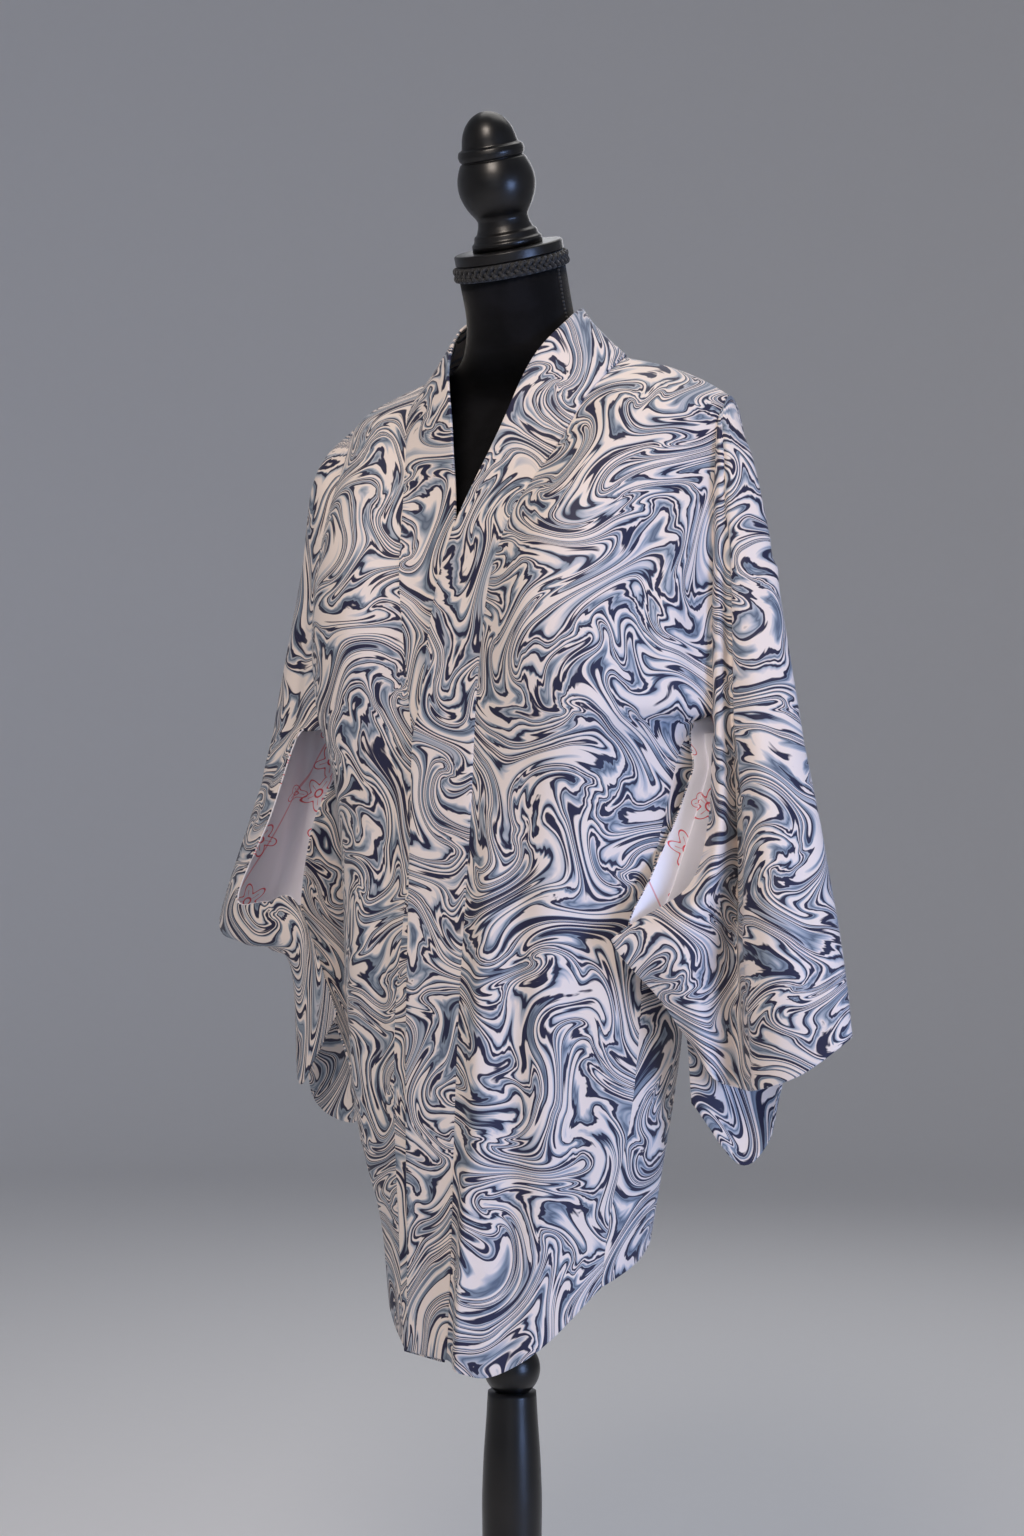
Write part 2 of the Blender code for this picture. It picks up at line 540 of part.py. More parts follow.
def add_sleeve_lining(side: str) -> None:
    """Add the lining inside a sleeve's mouth, made from the sleeve's own points moved in."""
    grid, out = sleeve_grid(side)
    grid, out = grid[LINED_ROWS[side], LINED_FOLDS], out[LINED_ROWS[side], LINED_FOLDS]
    reach = -(LINING_GAP + LINING_CLOTH)
    add_wall(f"sleeve_lining_{side}", grid, out, reach, -LINING_GAP, "sleeve_lining")


def add_rings(name: str, rings: np.ndarray, finish: str) -> None:
    """Add a closed solid through rings of points, with a flat face at each end."""
    count, around = rings.shape[:2]
    index = np.arange(count * around).reshape(count, around)
    turned = np.roll(index, -1, axis=1)
    sides = zip(
        index[:-1].ravel(), turned[:-1].ravel(), turned[1:].ravel(), index[1:].ravel(), strict=True
    )
    faces = [tuple(int(i) for i in face) for face in sides]
    faces += [tuple(int(i) for i in index[0][::-1]), tuple(int(i) for i in index[-1])]
    add_mesh(name, rings, faces, finish)


def circle(around: int) -> np.ndarray:
    """Unit circle points in X and Y."""
    turn = np.linspace(0, 2 * math.pi, around, endpoint=False)
    return np.stack([np.cos(turn), np.sin(turn)], axis=1)


def turned_rings(
    profile: Sequence[tuple[float, float]], foot: np.ndarray, tilt: float = 0.0
) -> np.ndarray:
    """Rings of a turned profile of (height, radius) rows on an axis that leans forward by tilt."""
    flat = circle(ROUND)
    rings = []
    for height, radius in profile:
        x, y = flat[:, 0] * radius, flat[:, 1] * radius
        z = np.full(ROUND, height)
        lean_y = y * math.cos(tilt) - z * math.sin(tilt)
        lean_z = y * math.sin(tilt) + z * math.cos(tilt)
        rings.append(np.stack([x, lean_y, lean_z], axis=1) + foot)
    return np.array(rings)


def arc(height: float, radius: float, low: float, high: float, steps: int) -> list[tuple[float, float]]:
    """(height, radius) rows of a round bead between two angles, in degrees above its equator."""
    angles = np.radians(np.linspace(low, high, steps))
    return [(height + radius * math.sin(a), radius * math.cos(a)) for a in angles]


def neck_axis(along: float) -> np.ndarray:
    """The point so far up the leaning axis of the neck's top."""
    y = NECK_MIDDLE_Y - along * math.sin(NECK_TILT)
    return np.array([0.0, y, NECK_TOP + along * math.cos(NECK_TILT)])


def add_torso() -> None:
    """Add the form: smooth oval rings from its bottom to the sloped top of its neck."""
    flat = circle(TORSO_ROUND)
    rings = []
    for z, half, middle, front, back in TORSO:
        depth = np.where(flat[:, 1] < 0, front, back)
        x = half * np.sign(flat[:, 0]) * np.abs(flat[:, 0]) ** 0.92
        y = middle + flat[:, 1] * depth
        rings.append(np.stack([x, y, np.full(TORSO_ROUND, z)], axis=1))
    top = flat * NECK_HALF
    slope = np.stack(
        [top[:, 0], top[:, 1] * math.cos(NECK_TILT), top[:, 1] * math.sin(NECK_TILT)], axis=1
    )
    rings.append(slope + neck_axis(0.0))
    add_rings("torso", np.array(rings), "black_velvet")


def add_neck_top() -> None:
    """Add the braid round the neck, the cap on it and the finial, all on the leaning axis."""
    trim = [(0.0, 0.0515), (0.002, 0.0530), (TRIM_HEIGHT - 0.002, 0.0530), (TRIM_HEIGHT, 0.0515)]
    add_rings("neck_braid", turned_rings(trim, neck_axis(TOUCH), NECK_TILT), "black_braid")
    cap = [
        (0.0, CAP_RADIUS - 0.0025), (0.0025, CAP_RADIUS), (CAP_HEIGHT - 0.003, CAP_RADIUS),
        (CAP_HEIGHT, CAP_RADIUS - 0.003),
    ]
    cap_foot = TRIM_HEIGHT + 2 * TOUCH
    add_rings("neck_cap", turned_rings(cap, neck_axis(cap_foot), NECK_TILT), "black_wood")
    bulb = [
        (0.030 + 0.050 * t, 0.0225 + 0.0133 * math.sin(math.pi * (0.04 + 0.80 * t)))
        for t in np.linspace(0.0, 1.0, 9)
    ]
    finial = (
        [(0.0, 0.0325), (0.006, 0.0325), (0.008, 0.0300), (0.013, 0.0290), (0.015, 0.0262)]
        + [(0.021, 0.0240), (0.026, 0.0232)]
        + bulb
        + [(0.0815, 0.0280), (0.0835, 0.0298), (0.0875, 0.0306), (0.0905, 0.0290), (0.0920, 0.0262)]
        + [
            (0.0920 + 0.031 * math.sin(math.radians(a)), 0.0255 * math.cos(math.radians(a)))
            for a in (12, 28, 44, 60, 75, 85)
        ]
    )
    foot = neck_axis(cap_foot + CAP_HEIGHT + TOUCH)
    add_rings("finial", turned_rings(finial, foot, NECK_TILT), "black_wood")


def add_stand() -> None:
    """Add the post under the form, the ball, the turned column and the foot."""
    ball_top = BALL_MIDDLE + BALL_RADIUS * math.sin(math.radians(58))
    ball_foot = BALL_MIDDLE - BALL_RADIUS * math.sin(math.radians(52))
    ground = np.zeros(3)
    post = [(ball_top + TOUCH, POST_RADIUS), (TORSO_BOTTOM - TOUCH, POST_RADIUS)]
    add_rings("post", turned_rings(post, ground), "black_wood")
    add_rings("ball", turned_rings(arc(BALL_MIDDLE, BALL_RADIUS, -52, 58, 11), ground), "black_wood")
    column_top = ball_foot - TOUCH
    column = [
        (COLUMN_BOTTOM, 0.0300), (0.050, 0.0320), (0.058, 0.0300), (0.064, 0.0200), (0.080, 0.0165),
        (0.110, 0.0150), (0.150, 0.0165), (0.200, 0.0205), (0.250, 0.0245), (0.300, 0.0272),
        (0.345, 0.0278), (0.385, 0.0262), (0.420, 0.0236), (0.436, 0.0228), (column_top, 0.0222),
    ]
    add_rings("column", turned_rings(column, ground), "black_wood")
    foot = [
        (0.0, FOOT_RADIUS - 0.002), (0.003, FOOT_RADIUS), (0.014, FOOT_RADIUS),
        (0.019, FOOT_RADIUS - 0.004), (0.021, FOOT_RADIUS - 0.016), (0.026, FOOT_RADIUS - 0.024),
        (FOOT_HEIGHT, FOOT_RADIUS - 0.040),
    ]
    add_rings("foot", turned_rings(foot, ground), "black_wood")
    boss_top = COLUMN_BOTTOM - TOUCH
    boss = [
        (FOOT_HEIGHT + TOUCH, 0.060), (FOOT_HEIGHT + 0.006, 0.060),
        (boss_top - 0.002, 0.046), (boss_top, 0.042),
    ]
    add_rings("boss", turned_rings(boss, ground), "black_wood")


def main() -> None:
    """Build the form, its stand and the jacket."""
    clear_scene()
    add_stand()
    add_torso()
    add_neck_top()
    for side in ("left", "right"):
        add_body(side)
        add_gusset(side)
        add_sleeve(side)
        add_sleeve_lining(side)
    add_collar()


main()
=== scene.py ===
"""A silk haori worn by a limbless dress form on a turned stand, finished for close views.

Everything is in metres with +Z up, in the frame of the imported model: the jacket's front faces -Y
and the wearer's left is +X. Each cloth piece is a closed thin wall. Its inner face is a smooth grid
through a short table of sections or folds, small drapes are added along the grid's outward
directions, and its pattern follows the cloth in metres of flat silk.
"""

import json
import logging
import math
from collections.abc import Mapping, Sequence
from dataclasses import dataclass, field
from enum import Enum
from typing import Any, NamedTuple

import bpy
import numpy as np
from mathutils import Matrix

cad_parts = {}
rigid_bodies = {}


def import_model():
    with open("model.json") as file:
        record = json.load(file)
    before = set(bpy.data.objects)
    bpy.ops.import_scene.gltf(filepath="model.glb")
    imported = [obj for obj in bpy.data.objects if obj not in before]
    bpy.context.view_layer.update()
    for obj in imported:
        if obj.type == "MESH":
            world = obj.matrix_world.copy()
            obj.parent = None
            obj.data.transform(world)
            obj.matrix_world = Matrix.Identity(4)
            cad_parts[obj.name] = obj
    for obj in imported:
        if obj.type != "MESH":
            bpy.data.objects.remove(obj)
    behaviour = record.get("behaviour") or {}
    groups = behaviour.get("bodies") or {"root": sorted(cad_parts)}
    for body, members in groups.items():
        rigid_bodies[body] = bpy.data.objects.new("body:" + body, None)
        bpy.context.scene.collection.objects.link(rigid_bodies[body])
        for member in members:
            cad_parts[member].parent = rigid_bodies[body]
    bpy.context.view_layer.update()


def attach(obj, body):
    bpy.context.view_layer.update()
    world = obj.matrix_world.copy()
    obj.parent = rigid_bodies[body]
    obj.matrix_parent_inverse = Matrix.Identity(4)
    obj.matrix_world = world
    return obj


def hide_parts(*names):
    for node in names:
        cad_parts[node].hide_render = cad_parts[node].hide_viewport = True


Array = np.ndarray
Colour = tuple[float, float, float]
Fold = tuple[tuple[float, float, float], ...]
Profile = list[tuple[float, float]]

REPORT = logging.getLogger("haori")
CLOTH_MAP = "flat_cloth"  # the UV map in metres of flat silk
SHARE_A = 0.36  # where a body section's second depth stands, as a share of the way across
SLOPE_STEP = 0.02  # the share of a noise's cell over which its slope is worked out


class Side(Enum):
    """The wearer's side; the value is the sign of X there."""

    LEFT = 1.0
    RIGHT = -1.0

    @property
    def word(self) -> str:
        """The side as it is written in piece names."""
        return self.name.lower()


class Held(Enum):
    """How a sheet of cloth is held."""

    HUNG = "hung"
    FOLDED = "folded"


# --------------------------------------------------
# The cut of the jacket and the form
# --------------------------------------------------


class Section(NamedTuple):
    """One section across a body strip, from its inner edge to its side edge.

    The heights run straight from z_in to z_out, less sag in the middle. y_a is the depth at
    SHARE_A of the way across, and y_b the depth at share_b of it.
    """

    place: str
    z_in: float
    z_out: float
    sag: float
    x_in: float
    x_in_right: float
    y_in: float
    y_a: float
    y_b: float
    x_out: float
    y_out: float
    share_b: float = 0.70


SECTIONS = (
    Section("front hem", 0.492, 0.555, 0.038, 0.005, 0.043, -0.108, -0.102, -0.074, 0.115, -0.028),
    Section("front thigh", 0.6, 0.622, 0.01, 0.01, 0.046, -0.108, -0.099, -0.073, 0.124, -0.026),
    Section("front seat", 0.7, 0.705, 0.003, 0.016, 0.047, -0.112, -0.103, -0.078, 0.146, -0.028),
    Section("front hip", 0.8, 0.8, 0.0, 0.021, 0.046, -0.112, -0.106, -0.082, 0.162, -0.036),
    Section("front belly", 0.895, 0.89, 0.0, 0.026, 0.038, -0.109, -0.106, -0.085, 0.166, -0.034),
    Section("front waist", 0.975, 0.965, 0.0, 0.03, 0.032, -0.106, -0.104, -0.086, 0.176, -0.022),
    Section("front gather", 1.04, 1.03, 0.0, 0.033, 0.033, -0.105, -0.108, -0.092, 0.189, -0.006),
    Section("front underarm", 1.075, 1.064, 0.0, 0.036, 0.036, -0.106, -0.113, -0.094, 0.211, 0.004, 0.66),
    Section("front bust", 1.13, 1.13, 0.0, 0.042, 0.042, -0.106, -0.121, -0.091, 0.2105, 0.006),
    Section("front upper bust", 1.19, 1.19, 0.0, 0.05, 0.05, -0.102, -0.114, -0.083, 0.2095, 0.009),
    Section("front chest", 1.245, 1.25, 0.0, 0.061, 0.061, -0.083, -0.094, -0.065, 0.2085, 0.013),
    Section("front collarbone", 1.302, 1.298, -0.004, 0.083, 0.083, -0.048, -0.052, -0.031, 0.2075, 0.019),
    Section("front shoulder", 1.348, 1.33, -0.006, 0.097, 0.097, -0.022, -0.014, -0.002, 0.2055, 0.029),
    Section("shoulder ridge", 1.386, 1.347, -0.006, 0.1, 0.1, 0.03, 0.042, 0.046, 0.203, 0.046),
    Section("back shoulder", 1.385, 1.33, -0.006, 0.08, 0.08, 0.06, 0.074, 0.074, 0.2035, 0.063),
    Section("back neck", 1.38, 1.29, -0.006, 0.046, 0.046, 0.078, 0.098, 0.092, 0.205, 0.072),
    Section("back yoke", 1.375, 1.24, -0.008, 0.0003, 0.0003, 0.086, 0.108, 0.1, 0.207, 0.076),
    Section("shoulder blades", 1.29, 1.18, -0.004, 0.0003, 0.0003, 0.11, 0.12, 0.106, 0.2085, 0.074),
    Section("back bust", 1.17, 1.12, 0.0, 0.0003, 0.0003, 0.114, 0.121, 0.104, 0.21, 0.068),
    Section("back underarm", 1.085, 1.064, 0.0, 0.0003, 0.0003, 0.115, 0.12, 0.101, 0.211, 0.056),
    Section("back gather", 1.035, 1.03, 0.0, 0.0003, 0.0003, 0.116, 0.119, 0.096, 0.184, 0.036),
    Section("back waist", 0.97, 0.965, 0.0, 0.0003, 0.0003, 0.117, 0.117, 0.092, 0.173, 0.03),
    Section("back belly", 0.895, 0.89, 0.0, 0.0003, 0.0003, 0.121, 0.118, 0.091, 0.172, 0.026),
    Section("back hip", 0.81, 0.805, 0.0, 0.0003, 0.0003, 0.126, 0.12, 0.091, 0.168, 0.026),
    Section("back seat", 0.74, 0.73, 0.0, 0.0003, 0.0003, 0.129, 0.121, 0.092, 0.156, 0.03),
    Section("back thigh", 0.68, 0.66, 0.0, 0.0003, 0.0003, 0.13, 0.121, 0.091, 0.141, 0.033),
    Section("back hem", 0.64, 0.59, 0.004, 0.0003, 0.0003, 0.13, 0.119, 0.088, 0.127, 0.034),
)
# The sections that differ on the wearer's right, mirrored.
RIGHT_SECTIONS = (
    Section("front hem", 0.494, 0.578, 0.006, 0.005, 0.04, -0.107, -0.098, -0.072, 0.097, -0.028),
    Section("front thigh", 0.6, 0.628, 0.006, 0.01, 0.045, -0.108, -0.098, -0.072, 0.111, -0.026),
    Section("front shoulder", 1.348, 1.336, -0.006, 0.097, 0.097, -0.022, -0.014, -0.002, 0.206, 0.029),
    Section("shoulder ridge", 1.386, 1.353, -0.005, 0.1, 0.1, 0.03, 0.042, 0.046, 0.205, 0.046),
    Section("back shoulder", 1.385, 1.336, -0.006, 0.08, 0.08, 0.06, 0.074, 0.074, 0.204, 0.063),
)
# The free edge of the left band, a point for each body section as far as the middle of the back.
LEFT_BAND_FREE = {
    "hem": (-0.034, -0.1095, 0.496),
    "thigh": (-0.033, -0.1105, 0.6),
    "seat": (-0.032, -0.114, 0.7),
    "hip": (-0.031, -0.1145, 0.8),
    "belly": (-0.0305, -0.112, 0.895),
    "waist": (-0.03, -0.1095, 0.975),
    "gather": (-0.0285, -0.1085, 1.04),
    "underarm": (-0.019, -0.1085, 1.08),
    "bust": (-0.012, -0.107, 1.135),
    "upper bust": (-0.004, -0.0985, 1.195),
    "crossing": (0.0065, -0.082, 1.248),
    "collarbone": (0.0265, -0.056, 1.318),
    "front neck": (0.047, -0.033, 1.384),
    "side neck": (0.06, 0.006, 1.424),
    "back corner": (0.049, 0.04, 1.437),
    "back neck": (0.03, 0.064, 1.439),
    "middle": (0.0, 0.073, 1.439),
}
# The right one where it differs, mirrored: below the crossing it runs on under the left one.
RIGHT_BAND_FREE = {
    "hem": (-0.001, -0.108, 0.489),
    "thigh": (-0.003, -0.108, 0.6),
    "seat": (-0.002, -0.112, 0.7),
    "hip": (-0.003, -0.112, 0.8),
    "belly": (-0.011, -0.109, 0.895),
    "waist": (-0.017, -0.106, 0.975),
    "gather": (-0.016, -0.105, 1.04),
    "underarm": (-0.013, -0.105, 1.078),
    "bust": (-0.008, -0.103, 1.135),
    "upper bust": (0.001, -0.095, 1.195),
    "crossing": (0.0075, -0.079, 1.248),
}
# Each fold of the left sleeve from the shoulder down: top, drop, upper arm, underarm, gather, mouth,
# bend, tip, lower, foot.
LEFT_SLEEVE: dict[str, Fold] = {
    "front edge": (
        (0.2085, 0.032, 1.331), (0.2115, 0.018, 1.285), (0.215, 0.0092, 1.2), (0.218, 0.002, 1.066),
        (0.2185, -0.004, 1.034), (0.2205, -0.014, 0.97), (0.212, -0.033, 0.913),
        (0.1705, -0.0765, 0.867), (0.198, -0.056, 0.815), (0.224, -0.034, 0.766),
    ),
    "strip": (
        (0.2105, 0.034, 1.333), (0.217, 0.011, 1.285), (0.22, 0.002, 1.2), (0.225, -0.006, 1.067),
        (0.229, -0.011, 1.034), (0.238, -0.023, 0.97), (0.236, -0.038, 0.914),
        (0.224, -0.058, 0.868), (0.228, -0.046, 0.812), (0.236, -0.033, 0.748),
    ),
    "valley": (
        (0.211, 0.036, 1.335), (0.219, 0.014, 1.285), (0.226, 0.007, 1.2), (0.229, 0.008, 1.068),
        (0.23, 0.01, 1.034), (0.2325, 0.014, 0.97), (0.235, 0.01, 0.915), (0.237, 0.003, 0.866),
        (0.2395, 0.002, 0.804), (0.2425, 0.0, 0.738),
    ),
    "ridge": (
        (0.211, 0.038, 1.337), (0.224, 0.013, 1.285), (0.233, 0.003, 1.2), (0.24, -0.006, 1.068),
        (0.244, -0.009, 1.034), (0.253, -0.016, 0.97), (0.26, -0.025, 0.915),
        (0.2655, -0.034, 0.867), (0.271, -0.031, 0.804), (0.275, -0.027, 0.741),
    ),
    "panel": (
        (0.211, 0.042, 1.34), (0.229, 0.02, 1.286), (0.246, 0.01, 1.2), (0.266, -0.002, 1.068),
        (0.274, -0.008, 1.034), (0.291, -0.02, 0.97), (0.301, -0.027, 0.917),
        (0.3095, -0.033, 0.87), (0.316, -0.03, 0.814), (0.32, -0.026, 0.758),
    ),
    "outer": (
        (0.211, 0.046, 1.342), (0.233, 0.032, 1.287), (0.255, 0.029, 1.2), (0.285, 0.022, 1.068),
        (0.293, 0.019, 1.034), (0.311, 0.013, 0.97), (0.323, 0.01, 0.917), (0.335, 0.006, 0.868),
        (0.343, 0.006, 0.825), (0.347, 0.006, 0.788),
    ),
    "far back": (
        (0.211, 0.05, 1.341), (0.221, 0.049, 1.287), (0.237, 0.054, 1.2), (0.261, 0.05, 1.068),
        (0.268, 0.049, 1.034), (0.282, 0.046, 0.97), (0.292, 0.045, 0.917), (0.3, 0.044, 0.867),
        (0.286, 0.045, 0.812), (0.256, 0.04, 0.745),
    ),
    "low back": (
        (0.2105, 0.054, 1.338), (0.214, 0.06, 1.286), (0.224, 0.068, 1.2), (0.245, 0.067, 1.068),
        (0.249, 0.066, 1.034), (0.257, 0.063, 0.97), (0.263, 0.061, 0.915), (0.268, 0.058, 0.86),
        (0.264, 0.048, 0.786), (0.256, 0.033, 0.697),
    ),
    "near back": (
        (0.2095, 0.058, 1.335), (0.2105, 0.069, 1.285), (0.217, 0.074, 1.2), (0.224, 0.064, 1.068),
        (0.22, 0.046, 1.034), (0.218, 0.033, 0.97), (0.217, 0.022, 0.915), (0.217, 0.018, 0.86),
        (0.223, 0.019, 0.772), (0.231, 0.02, 0.668),
    ),
    "back edge": (
        (0.207, 0.062, 1.331), (0.2085, 0.074, 1.285), (0.213, 0.077, 1.2), (0.216, 0.058, 1.066),
        (0.202, 0.008, 1.034), (0.186, -0.015, 0.97), (0.179, -0.043, 0.922),
        (0.1735, -0.07, 0.869), (0.206, -0.038, 0.805), (0.199, -0.009, 0.722),
    ),
}
# The right sleeve, mirrored, hangs another way: its mouth has a level lip, and its lower corner folds
# forward: top, drop, upper arm, underarm, mouth, corner, lip, lip end, foot.
RIGHT_SLEEVE: dict[str, Fold] = {
    "front edge": (
        (0.209, 0.032, 1.337), (0.212, 0.016, 1.285), (0.2155, 0.0088, 1.2), (0.22, 0.001, 1.066),
        (0.248, -0.007, 1.048), (0.264, -0.03, 0.97), (0.295, -0.042, 0.89), (0.254, -0.048, 0.887),
        (0.217, -0.046, 0.886), (0.178, -0.034, 0.784),
    ),
    "inner front": (
        (0.2105, 0.034, 1.339), (0.22, 0.008, 1.285), (0.221, 0.003, 1.2), (0.228, -0.002, 1.07),
        (0.254, -0.008, 1.044), (0.276, -0.026, 0.97), (0.306, -0.04, 0.882), (0.264, -0.05, 0.868),
        (0.208, -0.05, 0.862), (0.202, -0.036, 0.742),
    ),
    "middle front": (
        (0.2115, 0.037, 1.342), (0.225, 0.005, 1.285), (0.232, 0.002, 1.2), (0.244, -0.001, 1.072),
        (0.26, -0.005, 1.042), (0.288, -0.018, 0.97), (0.317, -0.034, 0.874), (0.276, -0.048, 0.85),
        (0.216, -0.048, 0.84), (0.229, -0.028, 0.718),
    ),
    "fold": (
        (0.2125, 0.04, 1.345), (0.234, 0.008, 1.293), (0.246, 0.004, 1.2), (0.262, 0.003, 1.072),
        (0.272, 0.001, 1.042), (0.299, -0.01, 0.97), (0.328, -0.026, 0.868), (0.29, -0.04, 0.85),
        (0.24, -0.044, 0.844), (0.231, -0.031, 0.824),
    ),
    "lap": (
        (0.2135, 0.042, 1.347), (0.24, 0.013, 1.298), (0.254, 0.008, 1.2), (0.274, 0.007, 1.072),
        (0.282, 0.006, 1.042), (0.307, -0.004, 0.97), (0.334, -0.019, 0.868), (0.304, -0.032, 0.86),
        (0.27, -0.038, 0.856), (0.259, -0.035, 0.843),
    ),
    "flap": (
        (0.214, 0.044, 1.349), (0.244, 0.02, 1.302), (0.257, 0.014, 1.2), (0.283, 0.012, 1.072),
        (0.289, 0.011, 1.042), (0.309, 0.002, 0.97), (0.331, -0.013, 0.868), (0.32, -0.022, 0.866),
        (0.305, -0.027, 0.864), (0.287, -0.03, 0.86),
    ),
    "outer": (
        (0.214, 0.047, 1.35), (0.247, 0.03, 1.304), (0.263, 0.027, 1.2), (0.293, 0.025, 1.072),
        (0.2995, 0.023, 1.042), (0.3175, 0.016, 0.97), (0.337, 0.006, 0.88), (0.342, 0.004, 0.868),
        (0.346, 0.004, 0.859), (0.35, 0.006, 0.851),
    ),
    "far back": (
        (0.213, 0.051, 1.349), (0.238, 0.048, 1.3), (0.252, 0.052, 1.2), (0.283, 0.054, 1.072),
        (0.29, 0.053, 1.042), (0.306, 0.05, 0.97), (0.32, 0.046, 0.88), (0.32, 0.046, 0.868),
        (0.318, 0.046, 0.856), (0.314, 0.046, 0.842),
    ),
    "turned back": (
        (0.212, 0.053, 1.347), (0.229, 0.056, 1.287), (0.243, 0.063, 1.2), (0.266, 0.063, 1.072),
        (0.272, 0.062, 1.042), (0.284, 0.059, 0.97), (0.294, 0.054, 0.88), (0.291, 0.051, 0.86),
        (0.285, 0.046, 0.838), (0.269, 0.032, 0.795),
    ),
    "low back": (
        (0.211, 0.055, 1.345), (0.224, 0.064, 1.286), (0.236, 0.071, 1.2), (0.249, 0.068, 1.072),
        (0.253, 0.066, 1.042), (0.262, 0.06, 0.97), (0.27, 0.052, 0.88), (0.268, 0.048, 0.85),
        (0.264, 0.042, 0.815), (0.253, 0.02, 0.698),
    ),
    "near back": (
        (0.2095, 0.058, 1.342), (0.2175, 0.071, 1.285), (0.224, 0.076, 1.2), (0.229, 0.066, 1.07),
        (0.225, 0.056, 1.04), (0.214, 0.03, 0.97), (0.21, 0.014, 0.88), (0.207, 0.012, 0.85),
        (0.202, 0.011, 0.815), (0.188, 0.002, 0.677),
    ),
    "back edge": (
        (0.2075, 0.062, 1.337), (0.211, 0.0765, 1.285), (0.214, 0.079, 1.2), (0.2165, 0.059, 1.066),
        (0.215, 0.03, 1.036), (0.219, -0.016, 0.97), (0.218, -0.038, 0.895), (0.214, -0.037, 0.868),
        (0.208, -0.033, 0.836), (0.17, -0.014, 0.712),
    ),
}

# Half width, middle y, front depth and back depth of the form at each height.
TORSO = (
    (0.735, 0.118, 0.01, 0.082, 0.092),
    (0.745, 0.13, 0.01, 0.09, 0.1),
    (0.79, 0.141, 0.008, 0.096, 0.106),
    (0.86, 0.143, 0.006, 0.094, 0.1),
    (0.93, 0.131, 0.006, 0.088, 0.092),
    (0.995, 0.12, 0.006, 0.084, 0.086),
    (1.06, 0.129, 0.006, 0.092, 0.09),
    (1.12, 0.141, 0.004, 0.102, 0.096),
    (1.165, 0.145, 0.004, 0.098, 0.1),
    (1.215, 0.149, 0.01, 0.082, 0.098),
    (1.262, 0.161, 0.02, 0.064, 0.086),
    (1.304, 0.173, 0.032, 0.048, 0.068),
    (1.334, 0.181, 0.042, 0.036, 0.05),
    (1.351, 0.182, 0.046, 0.027, 0.038),
    (1.362, 0.172, 0.045, 0.024, 0.03),
    (1.37, 0.148, 0.041, 0.026, 0.03),
    (1.3785, 0.113, 0.035, 0.031, 0.034),
    (1.389, 0.078, 0.026, 0.038, 0.044),
    (1.403, 0.058, 0.018, 0.044, 0.048),
    (1.43, 0.0505, 0.013, 0.046, 0.05),
)


# --------------------------------------------------
# Shader graphs
# --------------------------------------------------


class Signal:
    """A number that comes out of a node; arithmetic on it adds Math nodes."""

    def __init__(self, graph: "Graph", socket: bpy.types.NodeSocket) -> None:
        """Wrap an output socket of a graph."""
        self.graph = graph
        self.socket = socket

    def maths(self, operation: str, *values: "Signal | float") -> "Signal":
        """Return the result of a Math node on these values."""
        return self.graph.signal(
            "ShaderNodeMath", {"operation": operation}, dict(enumerate(values))
        )

    def __add__(self, other: "Signal | float") -> "Signal":
        """Sum."""
        return self.maths("ADD", self, other)

    __radd__ = __add__

    def __mul__(self, other: "Signal | float") -> "Signal":
        """Product."""
        return self.maths("MULTIPLY", self, other)

    __rmul__ = __mul__

    def __sub__(self, other: "Signal | float") -> "Signal":
        """Difference."""
        return self.maths("SUBTRACT", self, other)

    def __rsub__(self, other: float) -> "Signal":
        """Difference from a plain number."""
        return self.maths("SUBTRACT", other, self)

    def __truediv__(self, other: "Signal | float") -> "Signal":
        """Quotient."""
        return self.maths("DIVIDE", self, other)

    def __abs__(self) -> "Signal":
        """Size without sign."""
        return self.maths("ABSOLUTE", self)

    def sine(self) -> "Signal":
        """Sine of an angle in radians."""
        return self.maths("SINE", self)

    def root(self) -> "Signal":
        """Square root."""
        return self.maths("SQRT", self)

    def angle_from(self, across: "Signal") -> "Signal":
        """The angle in radians whose tangent is this number over another."""
        return self.maths("ARCTAN2", self, across)

    def fraction(self) -> "Signal":
        """What is left over the whole number below."""
        return self.maths("FRACT", self)

    def most(self, other: "Signal | float") -> "Signal":
        """The larger of two."""
        return self.maths("MAXIMUM", self, other)

    def rise(self, low: float, high: float) -> "Signal":
        """0 below low and 1 above high, smooth between; high may be the lower one."""
        return self.graph.signal(
            "ShaderNodeMapRange",
            {"interpolation_type": "SMOOTHSTEP"},
            {"Value": self, "From Min": low, "From Max": high},
        )


